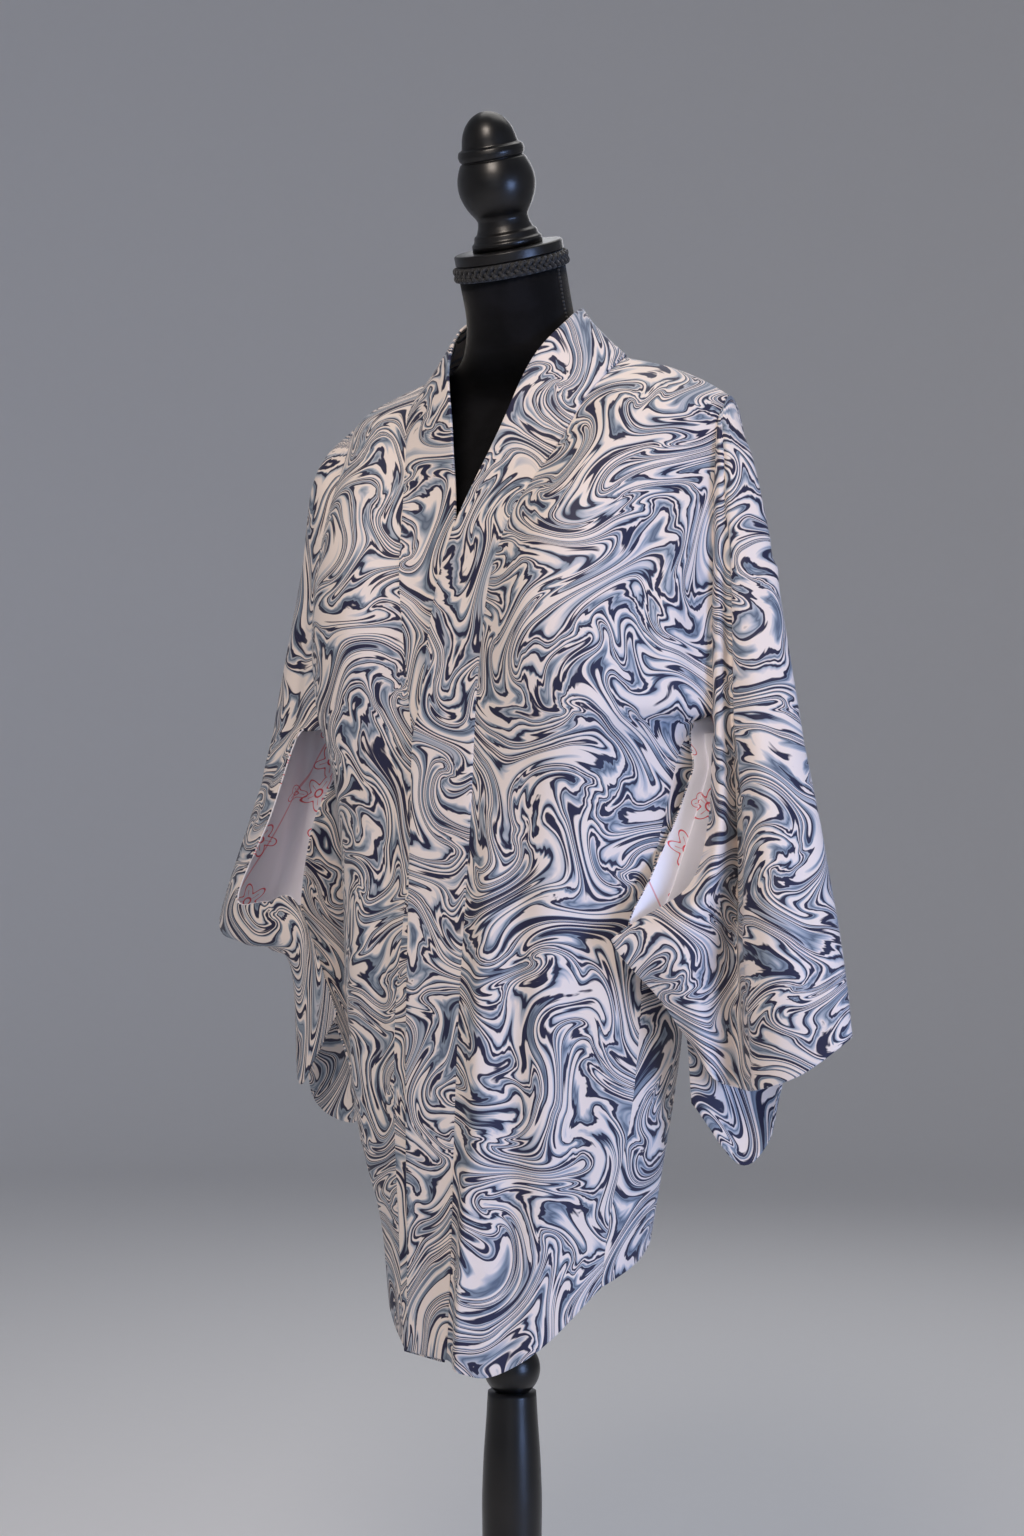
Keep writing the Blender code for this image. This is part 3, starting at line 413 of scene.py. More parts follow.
class Graph:
    """The node tree of one material, with its shader."""

    def __init__(self, name: str) -> None:
        """Make the material and find its shader.

        Args:
            name: The material's name.
        """
        self.material = bpy.data.materials.new(name)
        self.material.use_nodes = True
        self.tree = self.material.node_tree
        self.shader = self.tree.nodes["Principled BSDF"]

    def wire(self, socket: bpy.types.NodeSocket, value: Any) -> None:
        """Link or set one input socket.

        Args:
            socket: The input socket.
            value: A number, a colour, a vector, a socket or a signal.
        """
        value = value.socket if isinstance(value, Signal) else value
        if isinstance(value, bpy.types.NodeSocket):
            self.tree.links.new(value, socket)
        else:
            socket.default_value = value

    def node(
        self,
        kind: str,
        settings: Mapping[str, Any] | None = None,
        inputs: Mapping[int | str, Any] | None = None,
    ) -> bpy.types.Node:
        """Add a node.

        Args:
            kind: The node's type.
            settings: Its properties, set first; "stops" are a ramp's (place, colour) rows.
            inputs: A value or a link for each input socket, by name or number.

        Returns:
            The node.
        """
        made = self.tree.nodes.new(kind)
        for name, value in (settings or {}).items():
            if name != "stops":
                setattr(made, name, value)
                continue
            stops = made.color_ramp.elements
            for place, colour in value[2:]:
                stops.new(place).color = (*colour, 1.0)
            for stop, (place, colour) in zip((stops[0], stops[-1]), (value[0], value[1])):
                stop.position, stop.color = place, (*colour, 1.0)
        for name, value in (inputs or {}).items():
            self.wire(made.inputs[name], value)
        return made

    def signal(
        self,
        kind: str,
        settings: Mapping[str, Any] | None = None,
        inputs: Mapping[int | str, Any] | None = None,
        output: int | str = 0,
    ) -> Signal:
        """Add a node and return one of its outputs as a number."""
        return Signal(self, self.node(kind, settings, inputs).outputs[output])

    def vector(self, operation: str, *values: Any) -> bpy.types.NodeSocket:
        """Return the result of a Vector Math node."""
        inputs = dict(enumerate(values))
        return self.node("ShaderNodeVectorMath", {"operation": operation}, inputs).outputs[0]

    def mix(self, share: Signal | float, first: Any, second: Any) -> bpy.types.NodeSocket:
        """Return the first colour turned into the second by a share.

        Args:
            share: How much of the second colour shows, from 0 to 1.
            first: A colour or a socket.
            second: A colour or a socket.

        Returns:
            The colour.
        """
        mixer = self.node("ShaderNodeMix", {"data_type": "RGBA"}, {0: share})
        for place, value in ((6, first), (7, second)):
            self.wire(mixer.inputs[place], (*value, 1.0) if isinstance(value, tuple) else value)
        return mixer.outputs[2]

    def grain(self, where: Any, scale: float, detail: float = 2.0) -> Signal:
        """A noise in space, from 0 to 1."""
        inputs = {"Vector": where, "Scale": scale, "Detail": detail}
        return self.signal("ShaderNodeTexNoise", inputs=inputs)

    def flat_noise(self, where: Any, scale: float, detail: float = 0.0) -> Signal:
        """A noise on the flat cloth, from 0 to 1."""
        inputs = {"Vector": where, "Scale": scale, "Detail": detail}
        return self.signal("ShaderNodeTexNoise", {"noise_dimensions": "2D"}, inputs)

    def stirred(self, where: Any, scale: float, reach: float) -> bpy.types.NodeSocket:
        """The place on the flat cloth carried along the level lines of a noise.

        With the noise's slopes sx and sy there, worked out over a short step, it is
        where + reach * (sy, -sx).

        Args:
            where: The place on the flat cloth.
            scale: The noise's cells in each metre.
            reach: Metres that it moves where the slope is 1 over a cell.

        Returns:
            The moved place.
        """
        short = SLOPE_STEP / scale
        here = self.flat_noise(where, scale)
        right = self.flat_noise(self.vector("ADD", where, (short, 0.0, 0.0)), scale)
        above = self.flat_noise(self.vector("ADD", where, (0.0, short, 0.0)), scale)
        pull = reach / SLOPE_STEP
        away = self.join((above - here) * pull, (here - right) * pull, 0.0)
        return self.vector("ADD", where, away)

    def cloth_map(self) -> bpy.types.NodeSocket:
        """The piece's own map, in metres of flat cloth."""
        return self.node("ShaderNodeUVMap", {"uv_map": CLOTH_MAP}).outputs[0]

    def place(self) -> bpy.types.NodeSocket:
        """The point's place on the object, in metres."""
        return self.node("ShaderNodeTexCoord").outputs["Object"]

    def parts(self, vector: Any) -> tuple[Signal, Signal, Signal]:
        """The three numbers of a vector.

        Args:
            vector: A vector's socket.

        Returns:
            Its three numbers.
        """
        split = self.node("ShaderNodeSeparateXYZ", inputs={0: vector})
        x, y, z = (Signal(self, output) for output in split.outputs)
        return x, y, z

    def join(self, *values: Signal | float) -> bpy.types.NodeSocket:
        """A vector of three numbers."""
        return self.node("ShaderNodeCombineXYZ", inputs=dict(enumerate(values))).outputs[0]

    def bump(self, height: Signal, depth: float, strength: float = 1.0) -> bpy.types.NodeSocket:
        """The normal over a relief of this height and depth in metres."""
        return self.node(
            "ShaderNodeBump", inputs={"Strength": strength, "Distance": depth, "Height": height}
        ).outputs[0]

    def dress(self, sockets: Mapping[str, Any]) -> bpy.types.Material:
        """Set or link the shader's sockets by name and return the material.

        Args:
            sockets: A value or a link for each of the shader's sockets.

        Returns:
            The material.
        """
        for name, value in sockets.items():
            colour = isinstance(value, tuple) and len(value) == 3
            self.wire(self.shader.inputs[name], (*value, 1.0) if colour else value)
        return self.material


# --------------------------------------------------
# Finishes
# --------------------------------------------------


@dataclass(frozen=True)
class MarbledSilk:
    """Ivory silk with swirling ribbons of navy lines and slate bands, in the common marbled manner.

    The place on the cloth is stirred: it is carried along the level lines of a noise, a few steps
    with a broad noise and a few with a finer one, so that it winds into whorls while its area stays
    nearly the same. There a steady climb, plus a noise times the number of rings, gives the ring
    number, and a ramp paints one ribbon of lines and bands in each ring.
    """

    ivory: Colour = (0.88, 0.77, 0.705)
    pale: Colour = (0.53, 0.53, 0.575)
    mist: Colour = (0.265, 0.315, 0.38)
    slate: Colour = (0.10, 0.13, 0.19)
    navy: Colour = (0.014, 0.015, 0.048)
    rings: float = 1.8
    climb: float = 15.0
    size: float = 21.0
    stirs: tuple[tuple[float, float, int], ...] = ((11.0, 0.0245, 3), (30.0, 0.0055, 2))
    streak_size: float = 126.0
    streak_share: float = 0.12
    weave: tuple[float, float, float] = (900.0, 260.0, 1.0)

    def ribbon(self) -> list[tuple[float, Colour]]:
        """The colours over one ring: ivory, then a ribbon of lines and bands."""
        bands = (
            (0.00, self.ivory), (0.11, self.ivory), (0.13, self.navy), (0.195, self.navy),
            (0.21, self.mist), (0.25, self.slate), (0.28, self.mist), (0.31, self.pale),
            (0.34, self.ivory), (0.43, self.ivory), (0.445, self.navy), (0.505, self.navy),
            (0.52, self.pale), (0.555, self.mist), (0.58, self.slate), (0.60, self.mist),
            (0.63, self.pale), (0.66, self.ivory), (0.68, self.navy), (0.745, self.navy),
            (0.76, self.ivory), (0.81, self.ivory), (0.825, self.mist), (0.845, self.navy),
            (0.895, self.navy), (0.91, self.mist), (0.945, self.pale), (1.00, self.ivory),
        )
        return [bands[0], bands[-1], *bands[1:-1]]

    def rings_at(self, graph: Graph, flat: Any) -> Signal:
        """The ring number at a place on the cloth, whose fraction chooses the colour.

        At the stirred place it is contour * rings + up * climb + (streaks - 0.5) * streak_share.

        Args:
            graph: The material's graph.
            flat: The place on the flat cloth.

        Returns:
            The ring number.
        """
        where = flat
        for scale, reach, times in self.stirs:
            for _ in range(times):
                where = graph.stirred(where, scale, reach)
        contour = graph.flat_noise(where, self.size)
        streaks = graph.flat_noise(where, self.streak_size, detail=1.0)
        _, up, _ = graph.parts(where)
        return contour * self.rings + up * self.climb + (streaks - 0.5) * self.streak_share

    def build(self) -> bpy.types.Material:
        """Make the material.

        Returns:
            The material.
        """
        graph = Graph("haori_cloth")
        flat = graph.cloth_map()
        ring = self.rings_at(graph, flat)
        colour = graph.node(
            "ShaderNodeValToRGB", {"stops": self.ribbon()}, {"Fac": ring.fraction()}
        ).outputs[0]
        threads = graph.vector("MULTIPLY", flat, self.weave)
        weave = graph.flat_noise(threads, scale=1.0, detail=2.0)
        return graph.dress({
            "Base Color": colour,
            "Roughness": 0.50 + weave * 0.16,
            "Normal": graph.bump(weave, depth=0.00030, strength=0.5),
            "Sheen Weight": 0.12, "Sheen Roughness": 0.45, "Specular IOR Level": 0.42,
        })


@dataclass(frozen=True)
class LiningSilk:
    """Smooth white silk with sparse flowers and leaves in thin red outline, and a few thin lines.

    Each cell of a Voronoi texture holds one flower or leaf: the distance from the cell's middle is
    compared with a lobed radius, r = radius * (1 + 0.35 * cos(lobes * angle)). The thin lines lie
    where slant * place is half way between two whole numbers.
    """

    white: Colour = (0.97, 0.95, 1.0)
    shade: Colour = (0.92, 0.89, 0.98)
    red: Colour = (0.76, 0.04, 0.07)
    pink: Colour = (0.80, 0.28, 0.33)
    line: float = 0.055
    heart: float = 0.28
    empty: float = 0.30
    flower_cells: float = 17.0
    flower_radius: float = 0.0140
    leaf_cells: float = 21.0
    leaf_radius: float = 0.0070
    leaf_shift: tuple[float, float, float] = (3.1, 1.7, 0.0)
    slant: tuple[float, float] = (7.0, 2.4)
    stem_share: float = 0.75
    flower_share: float = 0.95
    weave: tuple[float, float, float] = (1400.0, 420.0, 1.0)

    def flower(self, graph: Graph, flat: Any, scale: float, radius: float, lobes: int) -> Signal:
        """The outline, the heart and the veins of one flower or leaf for each cell.

        The heart is a ring round the middle, and the veins run from a third of the radius to nine
        tenths of it. A share of the cells stays empty.

        Args:
            graph: The material's graph.
            flat: The place on the flat cloth.
            scale: Cells in each metre.
            radius: The flower's radius in metres.
            lobes: Its petals.

        Returns:
            1 on the drawn lines and 0 off them.
        """
        cells = graph.node(
            "ShaderNodeTexVoronoi", {"voronoi_dimensions": "2D"},
            {"Vector": flat, "Scale": scale, "Randomness": 0.8},
        )
        x, y, _ = graph.parts(graph.vector("SUBTRACT", flat, cells.outputs["Position"]))
        chance, turn, _ = graph.parts(cells.outputs["Color"])
        angle = y.angle_from(x) + turn * math.tau
        reach = (x * x + y * y).root() / radius
        petals = (angle * lobes + math.pi / 2).sine() * 0.35 + 1.0
        outer, inner = self.line * 1.6, self.line * 0.6
        outline = abs(reach - petals).rise(outer, inner)
        heart = abs(reach - self.heart).rise(outer, inner)
        veins = abs((angle * (lobes * 0.5)).sine()).rise(0.14, 0.05) * reach.rise(0.95, 0.85)
        veins = veins * reach.rise(0.30, 0.36)
        drawn = chance.rise(self.empty, self.empty + 0.01)
        return outline.most(heart).most(veins * 0.7) * drawn

    def build(self) -> bpy.types.Material:
        """Make the material.

        Returns:
            The material.
        """
        graph = Graph("sleeve_lining")
        flat = graph.cloth_map()
        bent = graph.stirred(flat, scale=30.0, reach=0.0015)
        flowers = self.flower(graph, bent, self.flower_cells, self.flower_radius, lobes=5)
        moved = graph.vector("ADD", bent, self.leaf_shift)
        leaves = self.flower(graph, moved, self.leaf_cells, self.leaf_radius, lobes=3)
        x, y, _ = graph.parts(flat)
        slanted = x * self.slant[0] + y * self.slant[1]
        stems = abs(slanted.fraction() - 0.5).rise(0.009, 0.004)
        cloud = graph.grain(flat, scale=18.0)
        colour = graph.mix(cloud, self.white, self.shade)
        colour = graph.mix(stems * self.stem_share, colour, self.pink)
        colour = graph.mix(flowers.most(leaves) * self.flower_share, colour, self.red)
        weave = graph.grain(graph.vector("MULTIPLY", flat, self.weave), scale=1.0)
        return graph.dress({
            "Base Color": colour,
            "Roughness": 0.34 + weave * 0.12,
            "Normal": graph.bump(weave, depth=0.00012, strength=0.5),
            "Sheen Weight": 0.10, "Specular IOR Level": 0.50,
        })


@dataclass(frozen=True)
class BlackVelvet:
    """Black cotton velvet: a dark ground, brushed clouds and a fine pile."""

    dark: Colour = (0.0022, 0.0022, 0.0028)
    brushed: Colour = (0.0075, 0.0075, 0.0095)

    def build(self) -> bpy.types.Material:
        """Make the material.

        Returns:
            The material.
        """
        graph = Graph("black_velvet")
        place = graph.place()
        clouds = graph.grain(place, scale=26.0, detail=3.0)
        pile = graph.grain(place, scale=1500.0)
        return graph.dress({
            "Base Color": graph.mix(clouds.rise(0.35, 0.70), self.dark, self.brushed),
            "Roughness": 0.82 + clouds * 0.16,
            "Normal": graph.bump(pile + clouds * 0.6, depth=0.00040, strength=0.7),
            "Sheen Weight": 0.22, "Sheen Roughness": 0.35, "Specular IOR Level": 0.15,
        })


@dataclass(frozen=True)
class BlackBraid:
    """Lustrous black cord: the yarns run round it at a slant.

    The map holds metres along the cord and turns around it; sin of their sum gives the yarns.
    """

    dark: Colour = (0.0025, 0.0025, 0.0030)
    lit: Colour = (0.013, 0.013, 0.015)
    yarns: float = 560.0

    def build(self) -> bpy.types.Material:
        """Make the material.

        Returns:
            The material.
        """
        graph = Graph("black_braid")
        along, around, _ = graph.parts(graph.cloth_map())
        twist = ((along * self.yarns + around) * math.tau).sine() * 0.5 + 0.5
        fluff = graph.grain(graph.place(), scale=900.0)
        return graph.dress({
            # The yarns' crowns are painted lighter, towards lit: a painted highlight; the fluff adds
            # random tone.
            "Base Color": graph.mix(twist * 0.6 + fluff * 0.4, self.dark, self.lit),
            "Roughness": 0.46 + fluff * 0.20,
            "Normal": graph.bump(twist + fluff * 0.5, depth=0.00045, strength=0.9),
            "Sheen Weight": 0.20, "Specular IOR Level": 0.45,
        })


@dataclass(frozen=True)
class BlackWood:
    """Turned wood under black satin lacquer: faint tool rings, rubbed clouds, a thin clear coat."""

    lacquer: Colour = (0.0030, 0.0028, 0.0028)
    rubbed: Colour = (0.0100, 0.0080, 0.0070)
    tooling: tuple[float, float, float] = (6.0, 6.0, 520.0)

    def build(self) -> bpy.types.Material:
        """Make the material.

        Returns:
            The material.
        """
        graph = Graph("black_wood")
        place = graph.place()
        clouds = graph.grain(place, scale=14.0, detail=4.0)
        rings = graph.grain(graph.vector("MULTIPLY", place, self.tooling), scale=1.0)
        dust = graph.grain(place, scale=160.0)
        return graph.dress({
            "Base Color": graph.mix(clouds.rise(0.40, 0.75), self.lacquer, self.rubbed),
            "Roughness": 0.27 + clouds * 0.16 + dust.rise(0.55, 0.75) * 0.08,
            "Normal": graph.bump(rings + dust * 0.3, depth=0.00012, strength=0.6),
            "Coat Weight": 0.10 + clouds * 0.2,
            "Coat Roughness": 0.22, "Specular IOR Level": 0.38,
        })


@dataclass(frozen=True)
class StudioPaper:
    """Plain pale paper for the floor and the backdrop."""

    colour: Colour = (0.86, 0.86, 0.865)
    darkest: float = 0.985

    def build(self) -> bpy.types.Material:
        """Make the material.

        Returns:
            The material.
        """
        graph = Graph("studio_paper")
        grain = graph.grain(graph.place(), scale=40.0)
        darker = tuple(part * self.darkest for part in self.colour)
        return graph.dress({
            "Base Color": graph.mix(grain, self.colour, darker),
            "Roughness": 0.85, "Specular IOR Level": 0.2,
        })


@dataclass(frozen=True)
class Finishes:
    """The materials that the pieces wear."""

    silk: bpy.types.Material
    lining: bpy.types.Material
    velvet: bpy.types.Material
    braid: bpy.types.Material
    wood: bpy.types.Material
    paper: bpy.types.Material

    @classmethod
    def made(cls) -> "Finishes":
        """Make them all."""
        kinds = (MarbledSilk, LiningSilk, BlackVelvet, BlackBraid, BlackWood, StudioPaper)
        return cls(*(kind().build() for kind in kinds))


# --------------------------------------------------
# Surfaces
# --------------------------------------------------


def smooth(control: Array, steps: int) -> Array:
    """A smooth curve through the first axis of control.

    Each span is the Catmull-Rom cubic: p1 + t/2 (p2 - p0) + t^2/2 (2 p0 - 5 p1 + 4 p2 - p3)
    + t^3/2 (3 p1 - p0 - 3 p2 + p3), with the ends repeated straight on.

    Args:
        control: The points; any further axes are carried along.
        steps: How many steps each span is cut into.

    Returns:
        spans * steps + 1 points.
    """
    before, after = 2 * control[0] - control[1], 2 * control[-1] - control[-2]
    held = np.concatenate([before[None], control, after[None]])
    spans = len(control) - 1
    at = np.linspace(0, spans, spans * steps + 1)
    span = np.minimum(at.astype(int), spans - 1)
    t = (at - span).reshape((-1,) + (1,) * (control.ndim - 1))
    p0, p1, p2, p3 = held[span], held[span + 1], held[span + 2], held[span + 3]
    return (
        p1
        + 0.5 * t * (p2 - p0)
        + 0.5 * t**2 * (2 * p0 - 5 * p1 + 4 * p2 - p3)
        + 0.5 * t**3 * (3 * p1 - p0 - 3 * p2 + p3)
    )


def surface(control: Array, down: int, across: int) -> Array:
    """A smooth grid through a lattice of points, with so many steps in each span both ways."""
    rows = smooth(control, down)
    return np.swapaxes(smooth(np.swapaxes(rows, 0, 1), across), 0, 1)


def unit(vectors: Array) -> Array:
    """The vectors at length 1."""
    return vectors / np.maximum(np.linalg.norm(vectors, axis=-1, keepdims=True), 1e-12)


def normals(grid: Array) -> Array:
    """The grid's normals: the cross product of its steps across and down."""
    return unit(np.cross(np.gradient(grid, axis=1), np.gradient(grid, axis=0)))


def eased(share: Array) -> Array:
    """0 below 0 and 1 above 1, with 3 s^2 - 2 s^3 between."""
    share = np.clip(share, 0.0, 1.0)
    return share * share * (3 - 2 * share)


def flat_map(grid: Array, anchor: float = 0.0) -> Array:
    """Metres of flat cloth at each grid point.

    Along a row it is the length of cloth from the column at the anchor, a share of the way across.
    Down the grid it is the length of the average column.

    Args:
        grid: The points.
        anchor: The share of the way across where each row counts from 0.

    Returns:
        Two lengths for each point: along its row and down the grid.
    """
    across = np.linalg.norm(np.diff(grid, axis=1), axis=2)
    u = np.concatenate([np.zeros((len(grid), 1)), np.cumsum(across, axis=1)], axis=1)
    u -= u[:, [round(anchor * (grid.shape[1] - 1))]]
    down = np.linalg.norm(np.diff(grid, axis=0), axis=2).mean(axis=1)
    v = np.concatenate([[0.0], np.cumsum(down)])
    return np.stack([u, np.broadcast_to(v[:, None], u.shape)], axis=2)


def side_distance(flat: Array) -> Array:
    """Metres of cloth from each grid point to the nearer end of its row."""
    u = flat[..., 0]
    return np.minimum(u - u[:, :1], u[:, -1:] - u)


class Drape(NamedTuple):
    """A soft ridge, or a valley where height is negative, along a line on the flat cloth."""

    start: tuple[float, float]
    end: tuple[float, float]
    width: float
    height: float


def draped(grid: Array, out: Array, flat: Array, drapes: Sequence[Drape], hold: Array) -> Array:
    """The grid with soft ridges raised along its outward directions.

    Each adds height * taper * exp(-(distance / width)^2). The distance is from the line on the flat
    cloth, and a step past either end counts in full. At the share s of the line the taper is
    0.35 + 0.65 * sin(pi * (0.08 + 0.84 * s)).

    Args:
        grid: The points.
        out: Their outward directions.
        flat: Their places on the flat cloth.
        drapes: The ridges and valleys.
        hold: How freely each point moves, from 0 to 1.

    Returns:
        The moved points.
    """
    lift = np.zeros(grid.shape[:2])
    for drape in drapes:
        start, run = np.array(drape.start), np.subtract(drape.end, drape.start)
        share = np.clip(((flat - start) @ run) / (run @ run), 0.0, 1.0)
        away = np.linalg.norm(flat - start - share[..., None] * run, axis=2)
        taper = 0.35 + 0.65 * np.sin(np.pi * (0.08 + 0.84 * share))
        lift += drape.height * taper * np.exp(-((away / drape.width) ** 2))
    return grid + out * (lift * hold)[..., None]


def add_mesh(
    name: str,
    points: Array,
    faces: list[list[int]],
    finishes: Sequence[bpy.types.Material],
    flat: Array | None = None,
    finish_of: Array | None = None,
) -> bpy.types.Object:
    """Add one smooth-shaded object.

    Args:
        name: The piece's name.
        points: Its points, in metres.
        faces: Its faces, by point number.
        finishes: Its materials.
        flat: A place on the flat cloth for each point, if it has one.
        finish_of: Which material each face wears, if there are several.

    Returns:
        The object.
    """
    mesh = bpy.data.meshes.new(name)
    mesh.from_pydata(points.reshape(-1, 3).tolist(), [], faces)
    for finish in finishes:
        mesh.materials.append(finish)
    if finish_of is not None:
        mesh.polygons.foreach_set("material_index", finish_of.astype(np.int32))
    if flat is not None:
        corner = np.empty(len(mesh.loops), np.int32)
        mesh.loops.foreach_get("vertex_index", corner)
        chart = mesh.uv_layers.new(name=CLOTH_MAP)
        chart.data.foreach_set("uv", flat.reshape(-1, 2)[corner].astype(np.float32).ravel())
    mesh.shade_smooth()
    mesh.update()
    obj = bpy.data.objects.new(name, mesh)
    bpy.context.scene.collection.objects.link(obj)
    return obj


def joined(edge: Array, seam: Array, reach: float) -> Array:
    """How far each edge point moves to lie on a seam line: to the nearest point of it.

    The move fades as 1 at a distance of 0 to 0 at the reach.

    Args:
        edge: The edge's points.
        seam: The seam line's points.
        reach: The distance from which a point stays where it is.

    Returns:
        The move of each edge point.
    """
    away = seam[None] - edge[:, None]
    span = np.linalg.norm(away, axis=2)
    nearest = span.argmin(axis=1)
    rows = np.arange(len(edge))
    return away[rows, nearest] * (1 - eased(span[rows, nearest] / reach))[:, None]


@dataclass
class ClothWall:
    """A thin closed wall of cloth beside a grid, with round edges.

    Facing marks the cells whose inner face takes the second finish; without it they all do.

    The inner face is grid + out * near and the outer face grid + out * far. Round the rim, a half
    circle whose diameter is the thickness joins the two.
    """

    grid: Array
    out: Array
    flat: Array
    near: float = 0.0
    far: float = 0.0020
    rim_turns: tuple[float, ...] = (-50.0, 0.0, 50.0)
    facing: Array | None = None

    def rim(self) -> Array:
        """The point numbers round the edge of the grid, in order."""
        index = np.arange(self.grid.shape[0] * self.grid.shape[1]).reshape(self.grid.shape[:2])
        return np.concatenate([index[0, :-1], index[:-1, -1], index[-1, :0:-1], index[:0:-1, 0]])

    def edge_directions(self) -> Array:
        """The way off the cloth at each edge point, and 0 elsewhere.

        Returns:
            A direction for each grid point.
        """
        off = np.zeros_like(self.grid)
        off[0] += unit(self.grid[0] - self.grid[1])
        off[-1] += unit(self.grid[-1] - self.grid[-2])
        off[:, 0] += unit(self.grid[:, 0] - self.grid[:, 1])
        off[:, -1] += unit(self.grid[:, -1] - self.grid[:, -2])
        return unit(off)

    def build(self, name: str, finishes: Sequence[bpy.types.Material]) -> bpy.types.Object:
        """Make the piece; a second finish goes on the inner face.

        Args:
            name: The piece's name.
            finishes: One or two materials.

        Returns:
            The piece.
        """
        middle, half = (self.near + self.far) / 2, (self.far - self.near) / 2
        grid, out, off = (a.reshape(-1, 3) for a in (self.grid, self.out, self.edge_directions()))
        flat = self.flat.reshape(-1, 2)
        rim, count = self.rim(), len(grid)
        rings = [
            grid[rim] + out[rim] * (middle + half * math.sin(turn)) + off[rim] * half * math.cos(turn)
            for turn in np.radians(self.rim_turns)
        ]
        points = np.concatenate([grid + out * self.near, grid + out * self.far, *rings])
        places = np.concatenate([flat, flat, *[flat[rim]] * len(rings)])
        index = np.arange(count).reshape(self.grid.shape[:2])
        a, b, c, d = index[:-1, :-1], index[:-1, 1:], index[1:, 1:], index[1:, :-1]
        inner = np.stack([a, b, c, d], axis=2).reshape(-1, 4)
        outer = np.stack([a, d, c, b], axis=2).reshape(-1, 4) + count
        loops = [rim]
        loops += [2 * count + turn * len(rim) + np.arange(len(rim)) for turn in range(len(rings))]
        loops += [rim + count]
        strips = [
            np.stack([low, high, np.roll(high, -1), np.roll(low, -1)], axis=1)
            for low, high in zip(loops, loops[1:])
        ]
        faces = np.concatenate([inner, outer, *strips])
        if np.einsum("ijk,ijk->", normals(self.grid), self.out) > 0:
            faces = faces[:, ::-1]
        faced = np.ones(a.size, bool) if self.facing is None else self.facing.ravel()
        finish_of = np.zeros(len(faces), int)
        finish_of[: len(inner)] = faced * (len(finishes) - 1)
        return add_mesh(name, points, faces.tolist(), finishes, places, finish_of)


def add_rings(
    name: str, rings: Array, finish: bpy.types.Material, flat: Array | None = None
) -> bpy.types.Object:
    """Add a closed solid through rings of points, with a face over each end.

    Args:
        name: The piece's name.
        rings: Rings of points, from one end to the other.
        finish: Its material.
        flat: A place on the flat map for each point, if it has one.

    Returns:
        The object.
    """
    count, around = rings.shape[:2]
    index = np.arange(count * around).reshape(count, around)
    ring = np.roll(index, -1, axis=1)
    quads = np.stack([index[:-1], ring[:-1], ring[1:], index[1:]], axis=2).reshape(-1, 4)
    faces = quads.tolist() + [index[0][::-1].tolist(), index[-1].tolist()]
    return add_mesh(name, rings, faces, [finish], flat)


def tube(path: Array, radius: float, around: int = 8, steep: float = 0.9) -> Array:
    """Rings round a path.

    Each ring lies square to the path, on two directions that come from the cross product of the
    path's direction with a fixed one: side = along x up, and over = side x along. Up is +Z, or +Y
    where the path is steeper than steep.

    Args:
        path: The points of the path.
        radius: The tube's radius.
        around: Points in each ring.
        steep: The Z part of the direction past which up is +Y.

    Returns:
        The rings.
    """
    along = unit(np.gradient(path, axis=0))
    up = np.where(np.abs(along[:, 2:]) > steep, [[0.0, 1.0, 0.0]], [[0.0, 0.0, 1.0]])
    side = unit(np.cross(along, up))
    over = np.cross(side, along)
    turn = np.linspace(0, 2 * math.pi, around, endpoint=False)
    ring = np.cos(turn)[None, :, None] * side[:, None] + np.sin(turn)[None, :, None] * over[:, None]
    return path[:, None] + ring * radius


def path_lengths(path: Array) -> Array:
    """The length along a path at each of its points."""
    steps = np.linalg.norm(np.diff(path, axis=0), axis=1)
    return np.concatenate([[0.0], np.cumsum(steps)])


def settle(piece: bpy.types.Object, nodes: Sequence[str]) -> bpy.types.Object:
    """Let a piece ride on the object and stand for these CAD nodes.

    Args:
        piece: The piece.
        nodes: The CAD nodes that it stands for, if any.

    Returns:
        The same piece.
    """
    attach(piece, "root")
    if nodes:
        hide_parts(*nodes)
    REPORT.info("%s: %d points", piece.name, len(piece.data.vertices))
    return piece


# Folds on the flat cloth, in metres. On a strip, the first number runs from the seam of the collar
# to the side and the second from the front hem over the shoulder to the back hem. On a sleeve, the
# first runs round from the outermost edge and the second down from the shoulder.
LEFT_DRAPES = (
    Drape((0.015, -0.03), (0.013, 0.16), 0.009, 0.014),
    Drape((0.026, -0.02), (0.026, 0.46), 0.015, 0.009),
    Drape((0.06, 0.0), (0.055, 0.42), 0.015, -0.0055),
    Drape((0.105, 0.02), (0.12, 0.5), 0.018, -0.004),
    Drape((0.085, 0.1), (0.075, 0.56), 0.016, 0.003),
    Drape((0.175, 0.77), (0.2, 0.585), 0.016, 0.007),
    Drape((0.15, 0.78), (0.165, 0.6), 0.012, -0.003),
    Drape((0.06, 0.87), (0.175, 0.66), 0.015, -0.003),
    Drape((0.145, 0.52), (0.09, 0.4), 0.014, 0.003),
    Drape((0.06, 1.05), (0.2, 1.22), 0.02, 0.004),
    Drape((0.11, 1.04), (0.215, 1.16), 0.016, -0.003),
    Drape((0.15, 1.3), (0.12, 1.7), 0.022, 0.0045),
    Drape((0.085, 1.25), (0.07, 1.7), 0.02, -0.004),
    Drape((0.19, 1.34), (0.17, 1.7), 0.018, -0.0035),
)
